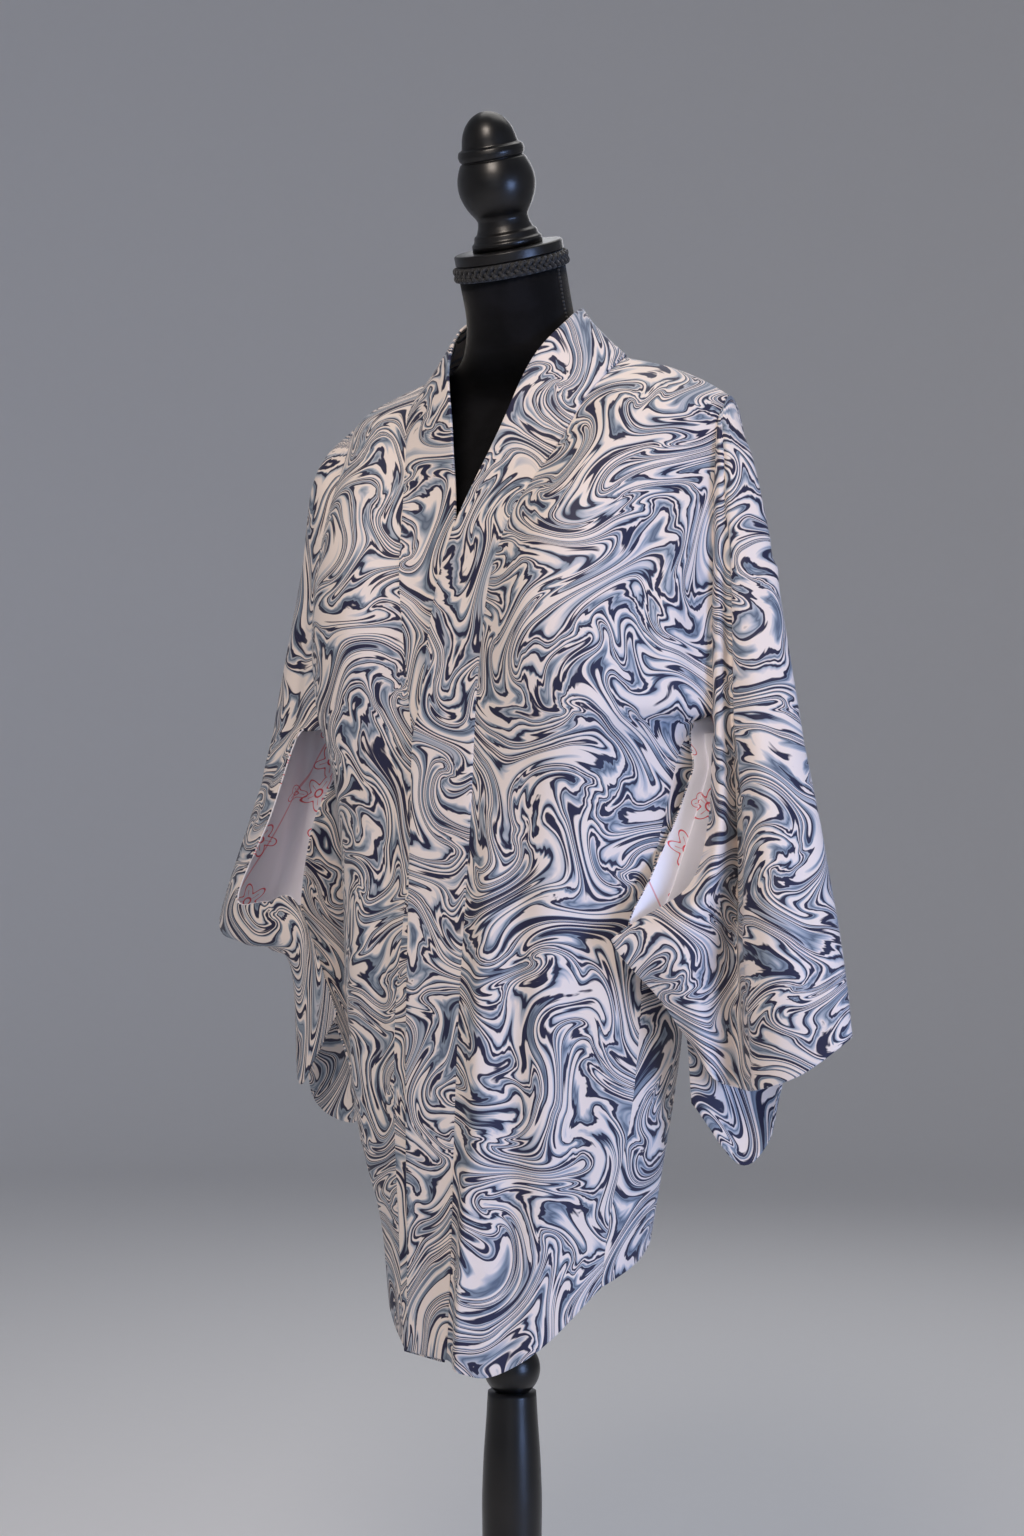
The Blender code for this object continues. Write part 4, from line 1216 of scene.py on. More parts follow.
RIGHT_DRAPES = (
    Drape((0.022, 0.02), (0.024, 0.5), 0.013, -0.0035),
    Drape((0.055, -0.01), (0.06, 0.45), 0.016, 0.0045),
    Drape((0.095, 0.05), (0.11, 0.48), 0.014, -0.0035),
    Drape((0.18, 0.72), (0.205, 0.55), 0.016, 0.006),
    Drape((0.11, 0.82), (0.165, 0.6), 0.015, -0.003),
    Drape((0.04, 0.82), (0.11, 0.6), 0.018, 0.0025),
    Drape((0.07, 1.02), (0.205, 1.2), 0.02, 0.004),
    Drape((0.1, 1.0), (0.21, 1.13), 0.016, -0.003),
    Drape((0.135, 1.27), (0.11, 1.67), 0.022, 0.0045),
    Drape((0.065, 1.2), (0.055, 1.67), 0.018, -0.0035),
    Drape((0.185, 1.32), (0.165, 1.67), 0.018, -0.0035),
)
LEFT_SLEEVE_DRAPES = (
    Drape((-0.016, 0.12), (-0.046, 0.62), 0.01, -0.0055),
    Drape((0.01, 0.154), (0.032, 0.136), 0.005, -0.003),
    Drape((0.012, 0.166), (0.038, 0.15), 0.007, 0.0028),
    Drape((0.018, 0.05), (0.034, 0.34), 0.01, 0.003),
    Drape((0.008, 0.22), (0.0, 0.58), 0.012, 0.0035),
    Drape((0.034, 0.34), (0.036, 0.6), 0.01, -0.003),
    Drape((-0.1, 0.47), (-0.15, 0.53), 0.016, 0.004),
    Drape((0.09, 0.2), (0.11, 0.55), 0.014, 0.0045),
    Drape((0.14, 0.26), (0.165, 0.58), 0.014, -0.004),
)
RIGHT_SLEEVE_DRAPES = (
    Drape((-0.012, 0.1), (-0.02, 0.36), 0.01, -0.004),
    Drape((0.014, 0.08), (0.012, 0.34), 0.012, 0.003),
    Drape((0.04, 0.1), (0.045, 0.44), 0.012, -0.004),
    Drape((0.075, 0.14), (0.085, 0.5), 0.014, 0.005),
    Drape((0.115, 0.26), (0.14, 0.54), 0.014, -0.004),
    Drape((0.18, 0.32), (0.2, 0.56), 0.016, 0.004),
    Drape((0.058, 0.27), (0.072, 0.5), 0.006, 0.011),
)

# --------------------------------------------------
# The jacket
# --------------------------------------------------


@dataclass
class BodyStrip:
    """One strip of the body, from the front hem over the shoulder to the back hem."""

    side: Side
    down: int = 8
    across: int = 12
    back_seam: float = 0.0003
    armhole_rows: int = 7
    back_depth: float = 0.05
    edge_hold: float = 0.022
    tuck_depth: float = 0.020
    tuck_reach: float = 0.030
    tuck_start: float = 0.004
    tuck_width: float = 0.060
    chart_turn: float = 0.0
    chart_offset: tuple[float, float] = (0.0, 0.0)
    cut: tuple[float, float] = (0.260, 1.700)
    cut_area: float = 0.36
    drapes: tuple[Drape, ...] = ()

    def lattice(self) -> Array:
        """The control points: a row for each section, four points across.

        Heights run straight from z_in to z_out, less sag * 4 s (1 - s) at the share s across.

        Returns:
            The points, from the front hem to the back hem.
        """
        changed = {row.place: row for row in RIGHT_SECTIONS if self.side is Side.RIGHT}
        rows = []
        for row in SECTIONS:
            row = changed.get(row.place, row)
            x_in = row.x_in if self.side is Side.LEFT else row.x_in_right
            share = np.array([0.0, SHARE_A, row.share_b, 1.0])
            x = x_in + (row.x_out - x_in) * share
            y = np.array([row.y_in, row.y_a, row.y_b, row.y_out])
            z = row.z_in + (row.z_out - row.z_in) * share - row.sag * 4 * share * (1 - share)
            rows.append(np.stack([x * self.side.value, y, z], axis=1))
        return np.array(rows)

    def plain(self) -> tuple[Array, Array]:
        """The inner face without its drapes, and its outward directions.

        Behind back_depth the face keeps back_seam clear of the middle, so that the halves only meet.

        Returns:
            The grid and its outward directions.
        """
        grid = surface(self.lattice(), self.down, self.across)
        sign = self.side.value
        clear = sign * np.maximum(grid[..., 0] * sign, self.back_seam)
        grid[..., 0] = np.where(grid[..., 1] > self.back_depth, clear, grid[..., 0])
        grid[..., 0] -= sign * self.underarm_tuck(grid)
        out = normals(grid) * sign
        out[:, 0, 0] = sign * np.maximum(out[:, 0, 0] * sign, 0.0)
        return grid, unit(out)

    def underarm_tuck(self, grid: Array) -> Array:
        """How far the front draws in below the end of the armhole, where the free side begins.

        It is tuck_depth * exp(-d / tuck_reach), d metres of height below the armhole's end. It
        comes in over tuck_start of height and fades out within tuck_width of the side.

        Args:
            grid: The inner face.

        Returns:
            The way inwards for each grid point.
        """
        end = self.armhole_rows * self.down
        side = grid[[end, -1 - end], -1]
        drop = np.minimum(side[0, 2], side[1, 2]) - grid[..., 2]
        inwards = (grid[:, -1:, 0] - grid[..., 0]) * self.side.value
        beside = 1 - eased(inwards / self.tuck_width)
        below = np.where(drop > 0, np.exp(-np.maximum(drop, 0) / self.tuck_reach), 0.0)
        below *= eased(drop / self.tuck_start)
        in_front = np.arange(len(grid))[:, None] < len(grid) // 2
        return self.tuck_depth * below * beside * in_front

    def faces(self) -> tuple[Array, Array, Array]:
        """The draped inner face, its outward directions and its flat map.

        Returns:
            The grid, its outward directions and its flat map.
        """
        grid, out = self.plain()
        flat = flat_map(grid)
        hold = eased(side_distance(flat) / self.edge_hold)
        return draped(grid, out, flat, self.drapes, hold), out, flat

    def build(self, finishes: Finishes) -> None:
        """Make the strip: silk outside and lining inside.

        Args:
            finishes: The materials.
        """
        grid, out, flat = self.faces()
        wall = ClothWall(grid, out, turned_chart(flat, self.chart_turn, self.chart_offset))
        name = f"haori_{self.side.word}_strip"
        piece = settle(
            wall.build(name, [finishes.silk, finishes.lining]), [f"body_{self.side.word}"],
        )


def turned_chart(flat: Array, turn: float, offset: tuple[float, float]) -> Array:
    """The flat map turned by an angle and moved, as each panel is cut elsewhere from the bolt.

    Args:
        flat: The flat map.
        turn: The angle in radians.
        offset: The move in metres.

    Returns:
        The new map.
    """
    cos, sin = math.cos(turn), math.sin(turn)
    u = flat[..., 0] * cos - flat[..., 1] * sin
    v = flat[..., 0] * sin + flat[..., 1] * cos
    return np.stack([u, v], axis=-1) + np.array(offset)


@dataclass
class Gusset:
    """The narrow strip between front and back, from the underarm to the hem."""

    strip: BodyStrip
    side_rows: int = 6
    rows_above: int = 4
    bulge: float = 0.10
    steps: int = 12
    chart_turn: float = 1.3
    chart_offset: tuple[float, float] = (6.2, 4.1)
    cut: tuple[float, float] = (0.070, 0.500)

    def build(self, finishes: Finishes) -> None:
        """Make the gusset.

        It runs straight across from seam to seam and stands out by bulge * width * 4 s (1 - s) at
        the share s across.

        Args:
            finishes: The materials.
        """
        grid, out, _ = self.strip.faces()
        rows = self.side_rows * self.strip.down + self.rows_above + 1
        front, back = grid[:rows, -1], grid[::-1][:rows, -1]
        share = np.linspace(0.0, 1.0, self.steps + 1)[None, :, None]
        between = front[:, None] * (1 - share) + back[:, None] * share
        away = out[:rows, -1][:, None] * (1 - share) + out[::-1][:rows, -1][:, None] * share
        away = unit(away)
        width = np.linalg.norm(back - front, axis=1)[:, None, None]
        between = between + away * (self.bulge * width * 4 * share * (1 - share))
        offset = self.chart_offset[0] + self.strip.side.value, self.chart_offset[1]
        chart = turned_chart(flat_map(between), self.chart_turn, offset)
        wall = ClothWall(between, away, chart)
        word = self.strip.side.word
        piece = settle(
            wall.build(f"haori_{word}_gusset", [finishes.silk, finishes.lining]),
            [f"gusset_{word}"],
        )


@dataclass
class Collar:
    """The collar: one long band, folded double, whose left end lies over the right one."""

    left: BodyStrip
    right: BodyStrip
    steps_across: int = 10
    gap: float = 0.0002
    thick: float = 0.0030
    lift: float = 0.0022
    lap_top: float = 1.300
    lap_fade: float = 0.060
    stand_clear: float = 0.0024
    stand_rate: float = 1.6
    rim_turns: tuple[float, ...] = (-64.0, -32.0, 0.0, 32.0, 64.0)
    chart_turn: float = 0.5
    chart_offset: tuple[float, float] = (11.3, 2.7)
    cut: tuple[float, float] = (0.066, 1.900)

    def edges(self) -> tuple[Array, Array, Array]:
        """The sewn edge, the free edge and the strips' outward directions, from hem to hem.

        Returns:
            Three rows of points or directions.
        """
        rows = (len(LEFT_BAND_FREE) - 1) * self.left.down + 1
        left, left_out = (a[:rows, 0] for a in self.left.plain())
        right, right_out = (a[:rows, 0] for a in self.right.plain())
        sewn = np.concatenate([left, right[-2::-1]])
        sewn[rows - 1, 0] = 0.0
        free_left = np.array(list(LEFT_BAND_FREE.values()))
        free_right = np.array(
            [RIGHT_BAND_FREE.get(place, point) for place, point in LEFT_BAND_FREE.items()]
        )
        free = np.concatenate([free_left, (free_right * [-1.0, 1.0, 1.0])[-2::-1]])
        return sewn, smooth(free, self.left.down), np.concatenate([left_out, right_out[-2::-1]])

    def faces(self) -> tuple[Array, Array]:
        """The inner face and its outward directions.

        Along the fronts the band starts at the strip's edge. Where it stands up, it starts
        stand_clear off the strip's inner face, which clears the outer one: the rise there is
        stand_rate times how far the band points outwards. Below the lap the left half is lifted and
        the right one lowered by lift * sqrt(share across).

        Returns:
            The grid and its outward directions.
        """
        sewn, free, panel_out = self.edges()
        across = unit(free - sewn)
        outwards = np.einsum("ij,ij->i", across, panel_out)
        rise = np.clip(self.stand_rate * outwards, 0.0, 1.0)[:, None]
        start = sewn + across * self.gap + panel_out * rise * self.stand_clear
        lattice = np.stack([start, (start + free) / 2, free], axis=1)
        grid = surface(lattice, 1, self.steps_across // 2)
        out = normals(grid)
        if out[0, 1, 1] > 0:
            out = -out
        out[:, 0] = unit(out[:, 0] * (0.1 + rise) + panel_out * (1 - rise))
        share = np.linspace(0.0, 1.0, grid.shape[1])[None, :, None]
        lap = np.clip((self.lap_top - grid[:, :, 2:]) / self.lap_fade, 0, 1)
        left_half = np.arange(len(grid))[:, None, None] < len(grid) // 2
        over = np.where(left_half, self.lift, -self.lift)
        return grid + out * over * lap * share**0.5, out

    def build(self, finishes: Finishes) -> None:
        """Make the band.

        Args:
            finishes: The materials.
        """
        grid, out = self.faces()
        chart = turned_chart(flat_map(grid), self.chart_turn, self.chart_offset)
        wall = ClothWall(grid, out, chart, 0.0, self.thick, self.rim_turns)
        piece = settle(wall.build("haori_collar", [finishes.silk]), ["collar"])


@dataclass
class Sleeve:
    """One sleeve: a folded bag, open at the armhole, along its inner edge and at the cuff."""

    side: Side
    strip: BodyStrip
    armhole_rows: int = 7
    down: int = 12
    around: int = 10
    table_steps: int = 2
    lined_rows: tuple[int, int] = (7, 15)
    lined_fold: int = 9
    lined_short: int = 3
    lining_gap: float = 0.0008
    lining_cloth: float = 0.0010
    chart_turn: float = 0.0
    chart_offset: tuple[float, float] = (0.0, 0.0)
    cut: tuple[float, float] = (0.400, 0.660)
    cut_area: float = 0.20
    lining_cut: tuple[float, float] = (0.200, 0.200)
    lining_offset: float = 3.0
    underarm_row: int = 36
    anchor: float = 0.4
    top_hold: float = 0.03
    seam_clear: float = 0.0006
    seam_reaches: tuple[float, float] = (0.040, 0.016)
    seam_fades: tuple[float, float] = (0.06, 0.014)
    tuck: tuple[float, float] | None = None
    tuck_start: float = 0.004
    tuck_height: float = 0.030
    tuck_columns: int = 12
    tip: tuple[int, float] | None = None
    tip_root: int = 12
    tip_fades: tuple[float, float] = (3.0, 4.0)
    piped: tuple[int, int] = (3, 7)
    piping_radius: float = 0.0010
    drapes: tuple[Drape, ...] = ()

    def plain(self) -> tuple[Array, Array]:
        """The inner face without its drapes, a row for each level, and its outward directions.

        Returns:
            The grid and its outward directions.
        """
        table = LEFT_SLEEVE if self.side is Side.LEFT else RIGHT_SLEEVE
        control = np.swapaxes(np.array(list(table.values())), 0, 1)
        control[..., 0] *= self.side.value
        grid = surface(control, self.down, self.around)
        if self.tuck is not None:
            grid[..., :2] += self.back_tuck(grid)
        if self.tip is not None:
            grid = grid + self.tip_pull(grid)
        return grid, -normals(grid) * self.side.value

    def tip_pull(self, grid: Array) -> Array:
        """How far the corner of the mouth is drawn out to a point.

        It is reach * exp(-rows / tip_fades[0] - columns / tip_fades[1]), rows and columns being
        steps of the grid from the corner, along the way from the column tip_root to the corner.

        Args:
            grid: The inner face.

        Returns:
            The move of each grid point.
        """
        row, reach = self.tip
        rows = np.abs(np.arange(grid.shape[0]) - row)[:, None] / self.tip_fades[0]
        columns = np.arange(grid.shape[1])[None] / self.tip_fades[1]
        way = unit(grid[row, 0] - grid[row, self.tip_root])
        return way * (reach * np.exp(-rows - columns))[..., None]

    def back_tuck(self, grid: Array) -> Array:
        """How far the back edge swings under the arm, just below the end of the armhole.

        The edge goes to the tuck's x and y within tuck_start of height, keeps them for tuck_height
        and leaves them over the same height again. The last tuck_columns of the cloth go with it.

        Args:
            grid: The inner face.

        Returns:
            The move of each grid point in X and Y.
        """
        drop = grid[self.underarm_row, -1, 2] - grid[:, -1:, 2]
        share = eased(drop / self.tuck_start)
        share *= 1 - eased((drop - self.tuck_height) / self.tuck_height)
        from_edge = np.arange(grid.shape[1] - 1, -1, -1)
        columns = eased((self.tuck_columns - from_edge) / self.tuck_columns)[None]
        goal = np.array(self.tuck) * [self.side.value, 1.0]
        return (goal - grid[:, -1:, :2]) * (share * columns)[..., None]

    def faces(self) -> tuple[Array, Array, Array]:
        """The draped inner face, its outward directions and its flat map.

        Returns:
            The grid, its outward directions and its flat map.
        """
        grid, out = self.plain()
        flat = flat_map(grid, self.anchor)
        hold = eased((flat[..., 1] - flat[:1, :, 1]) / self.top_hold)
        return self.sewn(draped(grid, out, flat, self.drapes, hold), flat), out, flat

    def sewn(self, grid: Array, flat: Array) -> Array:
        """The grid with its top and both edges drawn to the armhole, fading into the cloth.

        The first of seam_reaches and seam_fades is the top's and the second the edges'.

        Args:
            grid: The draped inner face.
            flat: Its flat map.

        Returns:
            The moved points.
        """
        strip, strip_out = self.strip.plain()
        rows = slice(self.armhole_rows * self.strip.down, -self.armhole_rows * self.strip.down)
        seam = strip[rows, -1] + strip_out[rows, -1] * self.seam_clear
        (top_reach, edge_reach), (top_fade, edge_fade) = self.seam_reaches, self.seam_fades
        below = 1 - eased((flat[..., 1] - flat[:1, :, 1]) / top_fade)
        grid = grid + joined(grid[0], seam, top_reach)[None] * below[..., None]
        for edge in (0, -1):
            beside = 1 - eased(np.abs(flat[..., 0] - flat[:, edge, None, 0]) / edge_fade)
            grid = grid + joined(grid[:, edge], seam, edge_reach)[:, None] * beside[..., None]
        return grid

    def lined_cells(self) -> tuple[slice, slice]:
        """The rows and the columns of the grid that the lining covers.

        The lined rows and fold are counted in half steps of the table, from its first one.

        Returns:
            Both slices.
        """
        first, last = self.lined_rows[0], self.lined_rows[1] - 1
        rows = slice(first * self.down // self.table_steps, last * self.down // self.table_steps + 1)
        return rows, slice(self.lined_fold * self.around // self.table_steps, -self.lined_short)

    def lined(self, values: Array) -> Array:
        """The part of a grid that the lining covers."""
        return values[self.lined_cells()]

    def build(self, finishes: Finishes) -> None:
        """Make the sleeve.

        Args:
            finishes: The materials.
        """
        grid, out, flat = self.faces()
        rows, folds = self.lined_cells()
        facing = np.zeros((grid.shape[0] - 1, grid.shape[1] - 1), bool)
        facing[self.underarm_row:rows.stop - 1, folds.start:] = True
        chart = turned_chart(flat, self.chart_turn, self.chart_offset)
        wall = ClothWall(grid, out, chart, facing=facing)
        word = self.side.word
        piece = settle(
            wall.build(f"haori_{word}_sleeve", [finishes.silk, finishes.lining]),
            [f"sleeve_{word}"],
        )

    def build_lining(self, finishes: Finishes) -> None:
        """Make the lining inside the mouth: the sleeve's own points moved in.

        Args:
            finishes: The materials.
        """
        grid, out, flat = (self.lined(values) for values in self.faces())
        reach = -(self.lining_gap + self.lining_cloth)
        wall = ClothWall(grid, out, flat + self.lining_offset, reach, -self.lining_gap)
        word = self.side.word
        piece = settle(
            wall.build(f"haori_{word}_sleeve_lining", [finishes.lining]),
            [f"sleeve_lining_{word}"],
        )

    def build_piping(self, finishes: Finishes) -> None:
        """Make the thin edge of lining that shows along the mouth, between two levels of the table.

        It is a tube a hair inside the sleeve's front edge and a little off it.

        Args:
            finishes: The materials.
        """
        grid, out, _ = self.faces()
        first, last = self.piped
        rows = slice(first * self.down, last * self.down + 1)
        inset, ahead = 0.0002, 0.0006
        path = grid[rows, 0] - out[rows, 0] * inset
        path = path + unit(grid[rows, 0] - grid[rows, 1]) * ahead
        rings = tube(path, self.piping_radius)
        length = path_lengths(path)
        along = np.stack([length, np.zeros_like(length)], axis=1)
        flat = np.broadcast_to(along[:, None], (*rings.shape[:2], 2))
        word = self.side.word
        settle(
            add_rings(f"haori_{word}_sleeve_piping", rings, finishes.lining, flat),
            [],
        )


@dataclass
class Jacket:
    """The whole haori."""

    left: BodyStrip = field(default_factory=lambda: BodyStrip(
        Side.LEFT, chart_turn=0.55, chart_offset=(1.35, 0.4), drapes=LEFT_DRAPES
    ))
    right: BodyStrip = field(default_factory=lambda: BodyStrip(
        Side.RIGHT, chart_turn=-0.4, chart_offset=(4.85, 1.9), drapes=RIGHT_DRAPES
    ))

    def sleeves(self) -> tuple[Sleeve, Sleeve]:
        """The two sleeves, which hang differently.

        Returns:
            The left one and the right one.
        """
        left = Sleeve(
            Side.LEFT, self.left, tuck=(0.1925, 0.0), tip=(84, 0.009), chart_turn=0.15,
            chart_offset=(8.2, 5.6), drapes=LEFT_SLEEVE_DRAPES,
        )
        right = Sleeve(
            Side.RIGHT, self.right, cut=(0.320, 0.660), cut_area=0.16, lined_rows=(7, 13),
            chart_turn=-0.2, chart_offset=(2.6, 8.8), piped=(3, 8), drapes=RIGHT_SLEEVE_DRAPES,
        )
        return left, right

    def build(self, finishes: Finishes) -> None:
        """Make every piece of cloth.

        Args:
            finishes: The materials.
        """
        for strip in (self.left, self.right):
            strip.build(finishes)
            Gusset(strip).build(finishes)
        Collar(self.left, self.right).build(finishes)
        for sleeve in self.sleeves():
            sleeve.build(finishes)
            sleeve.build_lining(finishes)
            sleeve.build_piping(finishes)


# --------------------------------------------------
# The form and its stand
# --------------------------------------------------


def circle(around: int) -> Array:
    """Unit circle points in X and Y."""
    turn = np.linspace(0, 2 * math.pi, around, endpoint=False)
    return np.stack([np.cos(turn), np.sin(turn)], axis=1)


def rounded(profile: Profile, radius: float, steps: int = 4, share: float = 0.45) -> Array:
    """A profile with its inner corners rounded.

    Each corner is swapped for the quadratic (1-t)^2 a + 2 t (1-t) corner + t^2 b between the points
    a and b that lie a radius back along both sides, or a share of a side where that is shorter.

    Args:
        profile: The (height, radius) rows.
        radius: How far back from a corner it is cut.
        steps: Steps in each rounded corner.
        share: The largest share of a side that a corner takes.

    Returns:
        The new rows.
    """
    points = np.array(profile, dtype=float)
    t = np.linspace(0, 1, steps + 1)[:, None]
    rows = [points[:1]]
    for before, corner, after in zip(points, points[1:], points[2:]):
        sides = before - corner, after - corner
        a, b = (corner + unit(s) * min(radius, share * float(np.linalg.norm(s))) for s in sides)
        rows.append((1 - t) ** 2 * a + 2 * t * (1 - t) * corner + t**2 * b)
    rows.append(points[-1:])
    return np.concatenate(rows)


def turned(profile: Array, foot: Array, tilt: float = 0.0, around: int = 96) -> Array:
    """Rings of a turned profile of (height, radius) rows, on an axis that leans forward by tilt.

    Args:
        profile: The (height, radius) rows.
        foot: Where height 0 of the axis stands.
        tilt: The lean in radians.
        around: Points in each ring.

    Returns:
        The rings.
    """
    flat = circle(around)
    x = flat[None, :, 0] * profile[:, 1:]
    y = flat[None, :, 1] * profile[:, 1:]
    z = np.broadcast_to(profile[:, :1], y.shape)
    lean_y = y * math.cos(tilt) - z * math.sin(tilt)
    lean_z = y * math.sin(tilt) + z * math.cos(tilt)
    return np.stack([x, lean_y, lean_z], axis=2) + foot


def arc(height: float, radius: float, angles: Array) -> Profile:
    """(height, radius) rows of a round bead at these angles above its equator, in degrees."""
    return [(height + radius * math.sin(a), radius * math.cos(a)) for a in np.radians(angles)]


def closed_tube(path: Array, radius: float, around: int = 8) -> Array:
    """Rings round a closed path about the Z axis: out from the axis, and up square to it.

    Args:
        path: The points of the path.
        radius: The tube's radius.
        around: Points in each ring.

    Returns:
        The rings.
    """
    along = unit(np.roll(path, -1, axis=0) - np.roll(path, 1, axis=0))
    up = np.cross(unit(path * [1.0, 1.0, 0.0]), along)
    out = np.cross(along, up)
    turn = np.linspace(0, 2 * math.pi, around, endpoint=False)[None, :, None]
    return path[:, None] + radius * (np.cos(turn) * out[:, None] + np.sin(turn) * up[:, None])


@dataclass
class DressForm:
    """The limbless velvet form with the braid, cap and finial on its sloped neck."""

    neck_top: float = 1.471
    neck_y: float = 0.001
    tilt: float = math.radians(18.0)
    neck_half: tuple[float, float] = (0.0500, 0.0480)
    trim_height: float = 0.014
    trim_radius: float = 0.0500
    cap_radius: float = 0.0505
    cap_height: float = 0.010
    cap_flat: float = 0.034
    touch: float = 0.0003
    around: int = 120
    squareness: float = 0.92
    seam_rows: int = 26
    stitch_pitch: float = 0.0036
    stitch_half: tuple[float, float, float] = (0.0016, 0.0015, 0.0013)
    stitch_lift: float = 0.0003
    strands: int = 3
    strand_steps: int = 960
    plaits: int = 15
    yarn: float = 0.0021
    strand_clear: float = 0.0010
    strand_weave: float = 0.0011
    edge: float = 0.0012

    def axis(self, along: float) -> Array:
        """The point so far up the leaning axis of the neck's top."""
        y = self.neck_y - along * math.sin(self.tilt)
        return np.array([0.0, y, self.neck_top + along * math.cos(self.tilt)])

    def torso_rings(self) -> Array:
        """Smooth oval rings up to the neck's top.

        They are x = half * |cos|^squareness, with the sign of the cosine, and
        y = middle + depth * sin, with one depth in front and another behind.

        Returns:
            The rings, from the lower end up.
        """
        flat = circle(self.around)
        rings = []
        for z, half, middle, front, back in TORSO:
            depth = np.where(flat[:, 1] < 0, front, back)
            x = half * np.sign(flat[:, 0]) * np.abs(flat[:, 0]) ** self.squareness
            rings.append(np.stack([x, middle + flat[:, 1] * depth, np.full(len(x), z)], axis=1))
        top = flat * self.neck_half
        lean = [top[:, 0], top[:, 1] * math.cos(self.tilt), top[:, 1] * math.sin(self.tilt)]
        rings.append(np.stack(lean, axis=1) + self.axis(0.0))
        return smooth(np.array(rings), 4)

    def build_torso(self, finishes: Finishes) -> None:
        """Make the form and the stitched seams up its sides.

        Args:
            finishes: The materials.
        """
        rings = self.torso_rings()
        settle(add_rings("form_torso", rings, finishes.velvet), ["torso"])
        middle = rings.mean(axis=1, keepdims=True)
        for side, column in ((Side.LEFT, 0), (Side.RIGHT, self.around // 2)):
            path = rings[:, column]
            out = unit((path - middle[:, 0]) * [1.0, 1.0, 0.0])
            self.build_stitches(side, path[-self.seam_rows:], out[-self.seam_rows:], finishes)

    def build_stitches(self, side: Side, path: Array, out: Array, finishes: Finishes) -> None:
        """Make a row of small oval stitches along a path, one every stitch_pitch of its length.

        Each is the oval middle + along * a sin(r) + across * b cos(r) cos(t)
        + out * (stitch_lift + c cos(r) sin(t)), with r from -60 to 60 degrees, t all round and the
        half sizes a, b and c in stitch_half.

        Args:
            side: The side of the form.
            path: The seam's points.
            out: The outward direction at each.
            finishes: The materials.
        """
        length = path_lengths(path)
        first, last = 0.002, length[-1] - 0.001
        at = np.arange(first, last, self.stitch_pitch)
        middle = np.stack([np.interp(at, length, path[:, k]) for k in range(3)], axis=1)
        raised = np.stack([np.interp(at, length, out[:, k]) for k in range(3)], axis=1)
        along = unit(np.gradient(middle, axis=0))
        across = unit(np.cross(along, raised))
        flat, rise = circle(8), np.radians([-60.0, -20.0, 20.0, 60.0])
        long, wide, high = self.stitch_half
        level = np.cos(rise)[:, None]
        stitch = (
            middle[:, None, None]
            + along[:, None, None] * (long * np.sin(rise))[None, :, None, None]
            + across[:, None, None] * (wide * level * flat[:, 0])[None, ..., None]
            + raised[:, None, None] * (self.stitch_lift + high * level * flat[:, 1])[None, ..., None]
        )
        count, rows, around = stitch.shape[:3]
        index = np.arange(count * rows * around).reshape(count, rows, around)
        ring = np.roll(index, -1, axis=2)
        quads = np.stack([index[:, :-1], index[:, 1:], ring[:, 1:], ring[:, :-1]], axis=3)
        faces = quads.reshape(-1, 4).tolist()
        faces += index[:, 0].tolist() + index[:, -1, ::-1].tolist()
        chart = np.zeros((count * rows * around, 2))
        piece = add_mesh(f"form_{side.word}_neck_seam", stitch, faces, [finishes.braid], chart)
        settle(piece, [])

    def build_braid(self, finishes: Finishes) -> None:
        """Make the plaited cord round the neck.

        Strand k goes round by angle a at height H/2 + A sin(n a + 2 pi k / 3) and at radius
        R + B sin(2 (n a + 2 pi k / 3)), so that each passes over the next and then under it.

        Args:
            finishes: The materials.
        """
        a = np.linspace(0, 2 * math.pi, self.strand_steps, endpoint=False)
        half = self.trim_height / 2
        rings = []
        for strand in range(self.strands):
            phase = self.plaits * a + 2 * math.pi * strand / self.strands
            radius = self.trim_radius + self.strand_clear + self.strand_weave * np.sin(2 * phase)
            height = half + (half - self.yarn) * np.sin(phase)
            path = np.stack([radius * np.cos(a), radius * np.sin(a), height], axis=1)
            rings.append(closed_tube(path, self.yarn))
        points = np.stack(rings)
        count, steps, around = points.shape[:3]
        length = np.linspace(0, 2 * math.pi * self.trim_radius, steps)
        turn = np.arange(around) / around
        chart = np.stack(np.broadcast_arrays(length[:, None], turn[None]), axis=2)
        chart = np.broadcast_to(chart, (count, steps, around, 2)).reshape(-1, 2)
        index = np.arange(count * steps * around).reshape(count, steps, around)
        ahead, ring = np.roll(index, -1, axis=1), np.roll(index, -1, axis=2)
        both = np.roll(ahead, -1, axis=2)
        faces = np.stack([index, ring, both, ahead], axis=3).reshape(-1, 4).tolist()
        leaned = self.leaned(points.reshape(-1, 3), self.axis(self.touch))
        piece = add_mesh("form_neck_braid", leaned, faces, [finishes.braid], chart)
        settle(piece, ["neck_braid"])

    def build_tape(self, finishes: Finishes) -> None:
        """Make the plain tape under the braid, with rounded edges.

        Args:
            finishes: The materials.
        """
        low, high = 0.001, self.trim_height - 0.001
        wide, narrow = self.trim_radius, self.trim_radius - 0.001
        profile = [(0.0, narrow), (low, wide), (high, wide), (self.trim_height, narrow)]
        foot = self.axis(self.touch)
        rings = turned(rounded(profile, 0.0008), foot, self.tilt, self.around)
        flat = np.zeros((*rings.shape[:2], 2))
        settle(add_rings("form_neck_tape", rings, finishes.braid, flat), [])

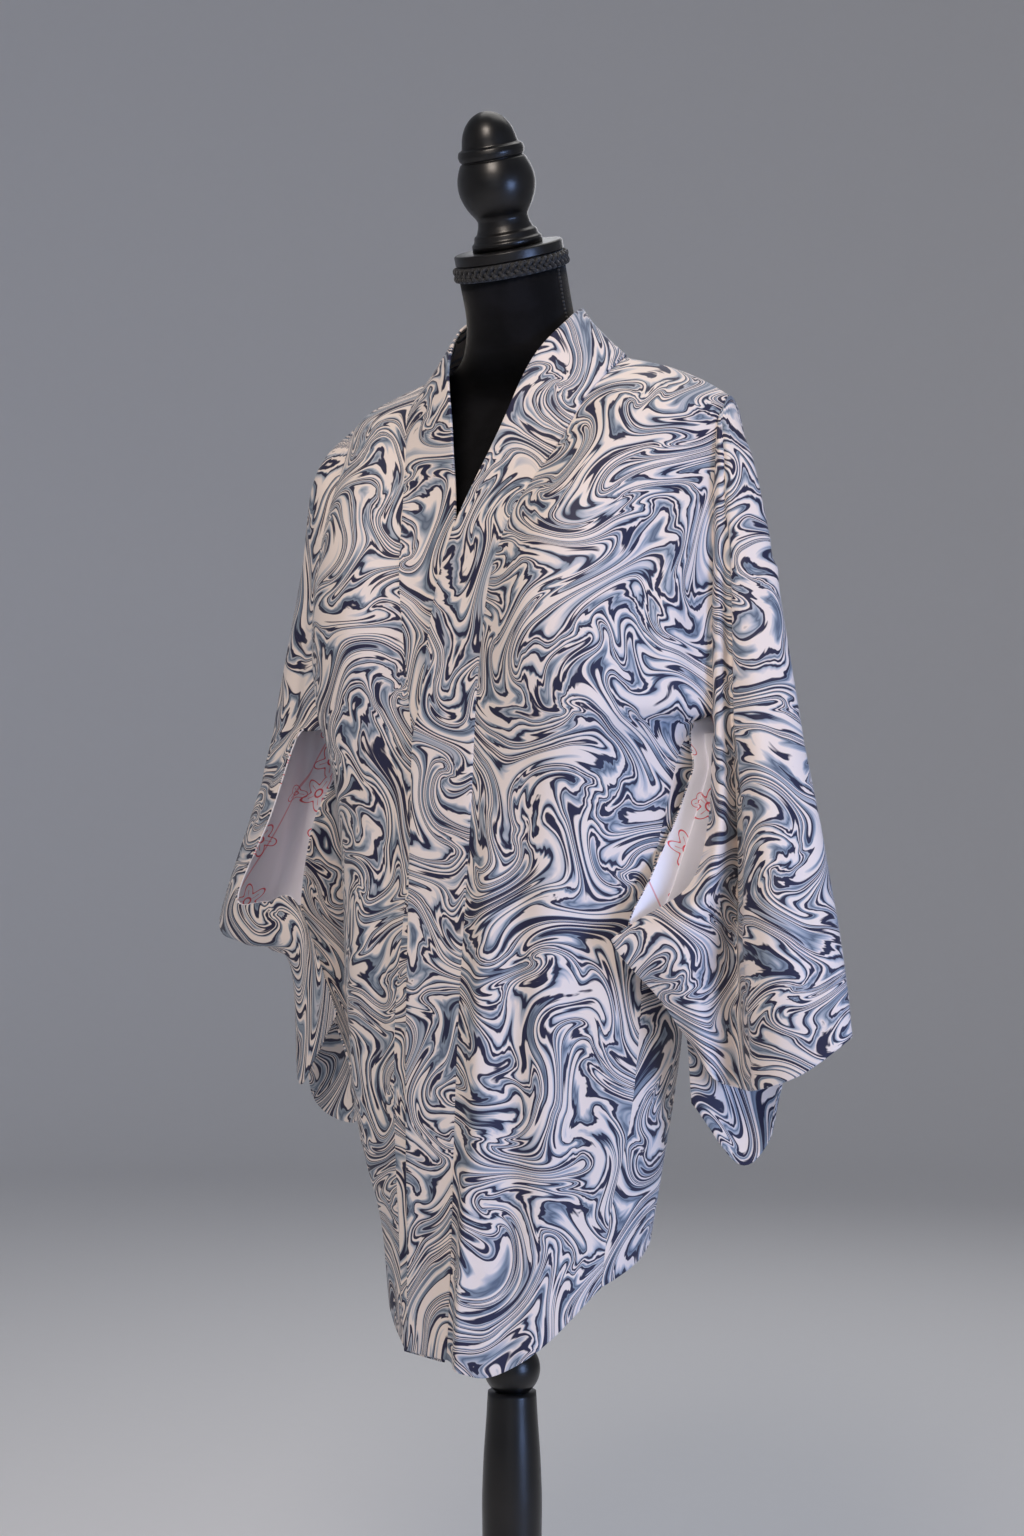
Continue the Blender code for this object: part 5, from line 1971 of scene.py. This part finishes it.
    def leaned(self, points: Array, foot: Array) -> Array:
        """Points of the upright neck frame turned forward by the tilt and set on a foot.

        Args:
            points: The points in the upright frame.
            foot: Where that frame's origin goes.

        Returns:
            The moved points.
        """
        cos, sin = math.cos(self.tilt), math.sin(self.tilt)
        y = points[:, 1] * cos - points[:, 2] * sin
        z = points[:, 1] * sin + points[:, 2] * cos
        return np.stack([points[:, 0], y, z], axis=1) + foot

    def build_cap(self, finishes: Finishes) -> None:
        """Make the round cap on the braid, with a flat top inside its rounded edge.

        Args:
            finishes: The materials.
        """
        height, radius, edge = self.cap_height, self.cap_radius, self.edge
        cap = [
            (0.0, radius - edge), (edge, radius), (height - edge, radius), (height, radius - edge),
            (height, self.cap_flat),
        ]
        foot = self.axis(self.trim_height + 2 * self.touch)
        rings = turned(rounded(cap, 0.0005), foot, self.tilt)
        settle(add_rings("form_neck_cap", rings, finishes.wood), ["neck_cap"])

    def build_finial(self, finishes: Finishes) -> None:
        """Make the turned finial: steps, a bulb, a bead and a dome.

        At the share s up it the bulb's radius is 0.0225 + 0.0133 * sin(pi (0.04 + 0.8 s))^0.8, and
        the dome is a quarter of an oval 31 mm high and 25.5 mm in radius.

        Args:
            finishes: The materials.
        """
        share = np.linspace(0.0, 1.0, 25)
        swell = np.sin(np.pi * (0.04 + 0.80 * share)) ** 0.8
        bulb = np.stack([0.030 + 0.049 * share, 0.0225 + 0.0133 * swell], axis=1)
        turn = np.radians(np.linspace(12, 85, 16))
        dome = np.stack([0.0920 + 0.031 * np.sin(turn), 0.0255 * np.cos(turn)], axis=1)
        steps = [
            (0.0, 0.0325), (0.006, 0.0325), (0.008, 0.0300), (0.013, 0.0290), (0.015, 0.0262),
            (0.021, 0.0240), (0.026, 0.0232),
        ]
        bead = [
            (0.0800, 0.0278), (0.0815, 0.0298), (0.0860, 0.0308), (0.0905, 0.0296),
            (0.0920, 0.0262),
        ]
        profile = rounded([*steps, *bulb.tolist(), *bead, *dome.tolist()], self.edge)
        foot = self.axis(self.trim_height + self.cap_height + 3 * self.touch)
        rings = turned(profile, foot, self.tilt)
        settle(add_rings("form_finial", rings, finishes.wood), ["finial"])

    def build(self, finishes: Finishes) -> None:
        """Make the whole form.

        Args:
            finishes: The materials.
        """
        self.build_torso(finishes)
        self.build_braid(finishes)
        self.build_tape(finishes)
        self.build_cap(finishes)
        self.build_finial(finishes)


@dataclass
class Stand:
    """The post under the form, the ball, the turned column, the boss and the round foot."""

    foot_radius: float = 0.175
    foot_height: float = 0.030
    column_bottom: float = 0.0423
    ball_middle: float = 0.464
    ball_radius: float = 0.026
    post_radius: float = 0.0125
    torso_bottom: float = 0.735
    touch: float = 0.0003
    ball_ends: tuple[float, float] = (-52.0, 58.0)
    column_round: float = 0.012
    edge_round: float = 0.0020
    around: int = 96
    foot_around: int = 160

    def profiles(self) -> dict[str, Profile]:
        """The (height, radius) rows of each turned piece, by its node's name.

        The ball is cut off flat at ball_ends, in degrees above its equator.

        Returns:
            The rows by node.
        """
        ball = arc(self.ball_middle, self.ball_radius, np.linspace(*self.ball_ends, 33))
        ball_foot, ball_top = ball[0][0], ball[-1][0]
        column_top, boss_top = ball_foot - self.touch, self.column_bottom - self.touch
        height, radius = self.foot_height, self.foot_radius
        return {
            "post": [
                (ball_top + self.touch, self.post_radius),
                (self.torso_bottom - self.touch, self.post_radius),
            ],
            "ball": ball,
            "column": [
                (self.column_bottom, 0.0300), (0.050, 0.0320), (0.058, 0.0300), (0.064, 0.0200),
                (0.080, 0.0165), (0.110, 0.0150), (0.150, 0.0165), (0.200, 0.0205),
                (0.250, 0.0245), (0.300, 0.0272), (0.345, 0.0278), (0.385, 0.0262),
                (0.420, 0.0236), (0.436, 0.0228), (column_top, 0.0222),
            ],
            "boss": [
                (height + self.touch, 0.060), (height + 0.006, 0.060), (boss_top - 0.002, 0.046),
                (boss_top, 0.042),
            ],
            "foot": [
                (0.0, radius - 0.002), (0.003, radius), (0.014, radius), (0.019, radius - 0.004),
                (0.021, radius - 0.016), (0.026, radius - 0.024), (height, radius - 0.040),
                (height, 0.062),
            ],
        }

    def build(self, finishes: Finishes) -> None:
        """Make the turned pieces; the column's rows are joined by smooth curves.

        Args:
            finishes: The materials.
        """
        for node, profile in self.profiles().items():
            rows = rounded(profile, self.column_round if node == "column" else self.edge_round)
            around = self.foot_around if node == "foot" else self.around
            rings = turned(rows, np.zeros(3), around=around)
            settle(add_rings(f"stand_{node}", rings, finishes.wood), [node])


# --------------------------------------------------
# The studio
# --------------------------------------------------


@dataclass(frozen=True)
class SoftLight:
    """One square area light."""

    name: str
    place: tuple[float, float, float]
    aim: tuple[float, float, float]
    size: float
    power: float
    colour: Colour
    spread: float = math.pi

    def build(self) -> None:
        """Make the light, with its -Z turned to the aim."""
        lamp = bpy.data.lights.new(self.name, "AREA")
        lamp.shape = "SQUARE"
        lamp.size = self.size
        lamp.energy = self.power
        lamp.color = self.colour
        lamp.spread = self.spread
        obj = bpy.data.objects.new(self.name, lamp)
        x, y, z = unit(np.subtract(self.place, self.aim)).tolist()
        obj.location = self.place
        obj.rotation_euler = (0.0, math.acos(z), math.atan2(y, x))
        bpy.context.scene.collection.objects.link(obj)


@dataclass
class Studio:
    """The floor that sweeps up into a round backdrop, the lights and the camera."""

    azimuth: float = math.radians(35.0)
    distance: float = 2.6
    height: float = 1.016
    lens: float = 66.24
    sensor: float = 36.0
    farthest: float = 40.0
    air: tuple[float, float, float, float] = (0.80, 0.86, 1.0, 1.0)
    air_strength: float = 0.18
    floor_radius: float = 4.6
    sweep: float = 1.6
    wall_top: float = 5.0
    lights: tuple[SoftLight, ...] = (
        SoftLight("key", (0.75, -1.9, 2.75), (0.0, 0.0, 1.35), 0.8, 37.5, (1.0, 0.88, 0.78)),
        SoftLight(
            "cool", (2.9, -0.5, 0.75), (0.0, 0.0, 0.85), 1.0, 13.5, (0.38, 0.55, 1.0),
            spread=math.radians(100.0),
        ),
        SoftLight("top", (-0.2, 0.9, 3.6), (0.0, 0.0, 1.1), 2.0, 22.0, (1.0, 0.97, 0.94)),
        SoftLight("back", (-1.2, 2.8, 2.4), (0.0, 0.0, 1.0), 1.6, 13.0, (0.96, 0.97, 1.0)),
        SoftLight("front", (1.8, -3.4, 1.2), (0.0, 0.0, 0.9), 2.2, 6.0, (0.86, 0.90, 1.0)),
    )

    def build_cove(self, finishes: Finishes) -> None:
        """Make the floor: flat, then a quarter circle, then a wall, turned about the middle.

        At the angle b the quarter circle is (sweep (1 - cos b), floor_radius + sweep sin b).

        Args:
            finishes: The materials.
        """
        floor = [(0.0, 0.02), *((0.0, r) for r in np.linspace(0.3, self.floor_radius, 12))]
        bend = [
            (self.sweep * (1 - math.cos(b)), self.floor_radius + self.sweep * math.sin(b))
            for b in np.radians(np.linspace(5, 90, 18))
        ]
        wall = (self.wall_top, self.floor_radius + self.sweep)
        rings = turned(np.array([*floor, *bend, wall]), np.zeros(3))
        count, around = rings.shape[:2]
        index = np.arange(count * around).reshape(count, around)
        ring = np.roll(index, -1, axis=1)
        quads = np.stack([index[:-1], index[1:], ring[1:], ring[:-1]], axis=2).reshape(-1, 4)
        faces = quads.tolist() + [index[0].tolist()]
        add_mesh("studio_cove", rings, faces, [finishes.paper])

    def build_camera(self) -> None:
        """Make the camera: level, turned from the front towards the wearer's left."""
        lens = bpy.data.cameras.new("camera")
        lens.lens = self.lens
        lens.sensor_width = self.sensor
        lens.clip_end = self.farthest
        camera = bpy.data.objects.new("camera", lens)
        x, y = math.sin(self.azimuth), -math.cos(self.azimuth)
        camera.location = (self.distance * x, self.distance * y, self.height)
        camera.rotation_euler = (math.radians(90.0), 0.0, self.azimuth)
        bpy.context.scene.collection.objects.link(camera)
        bpy.context.scene.camera = camera

    def build(self, finishes: Finishes) -> None:
        """Make the studio.

        Args:
            finishes: The materials.
        """
        world = bpy.data.worlds.new("studio_air")
        world.use_nodes = True
        air = world.node_tree.nodes["Background"]
        air.inputs["Color"].default_value = self.air
        air.inputs["Strength"].default_value = self.air_strength
        bpy.context.scene.world = world
        bpy.context.scene.view_settings.view_transform = "Standard"
        self.build_cove(finishes)
        self.build_camera()
        for light in self.lights:
            light.build()


def main() -> None:
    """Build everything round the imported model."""
    logging.basicConfig(level=logging.INFO, format="%(name)s %(message)s")
    for leftover in list(bpy.data.objects):
        bpy.data.objects.remove(leftover, do_unlink=True)
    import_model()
    finishes = Finishes.made()
    Studio().build(finishes)
    Stand().build(finishes)
    DressForm().build(finishes)
    Jacket().build(finishes)


if __name__ == "__main__":
    main()
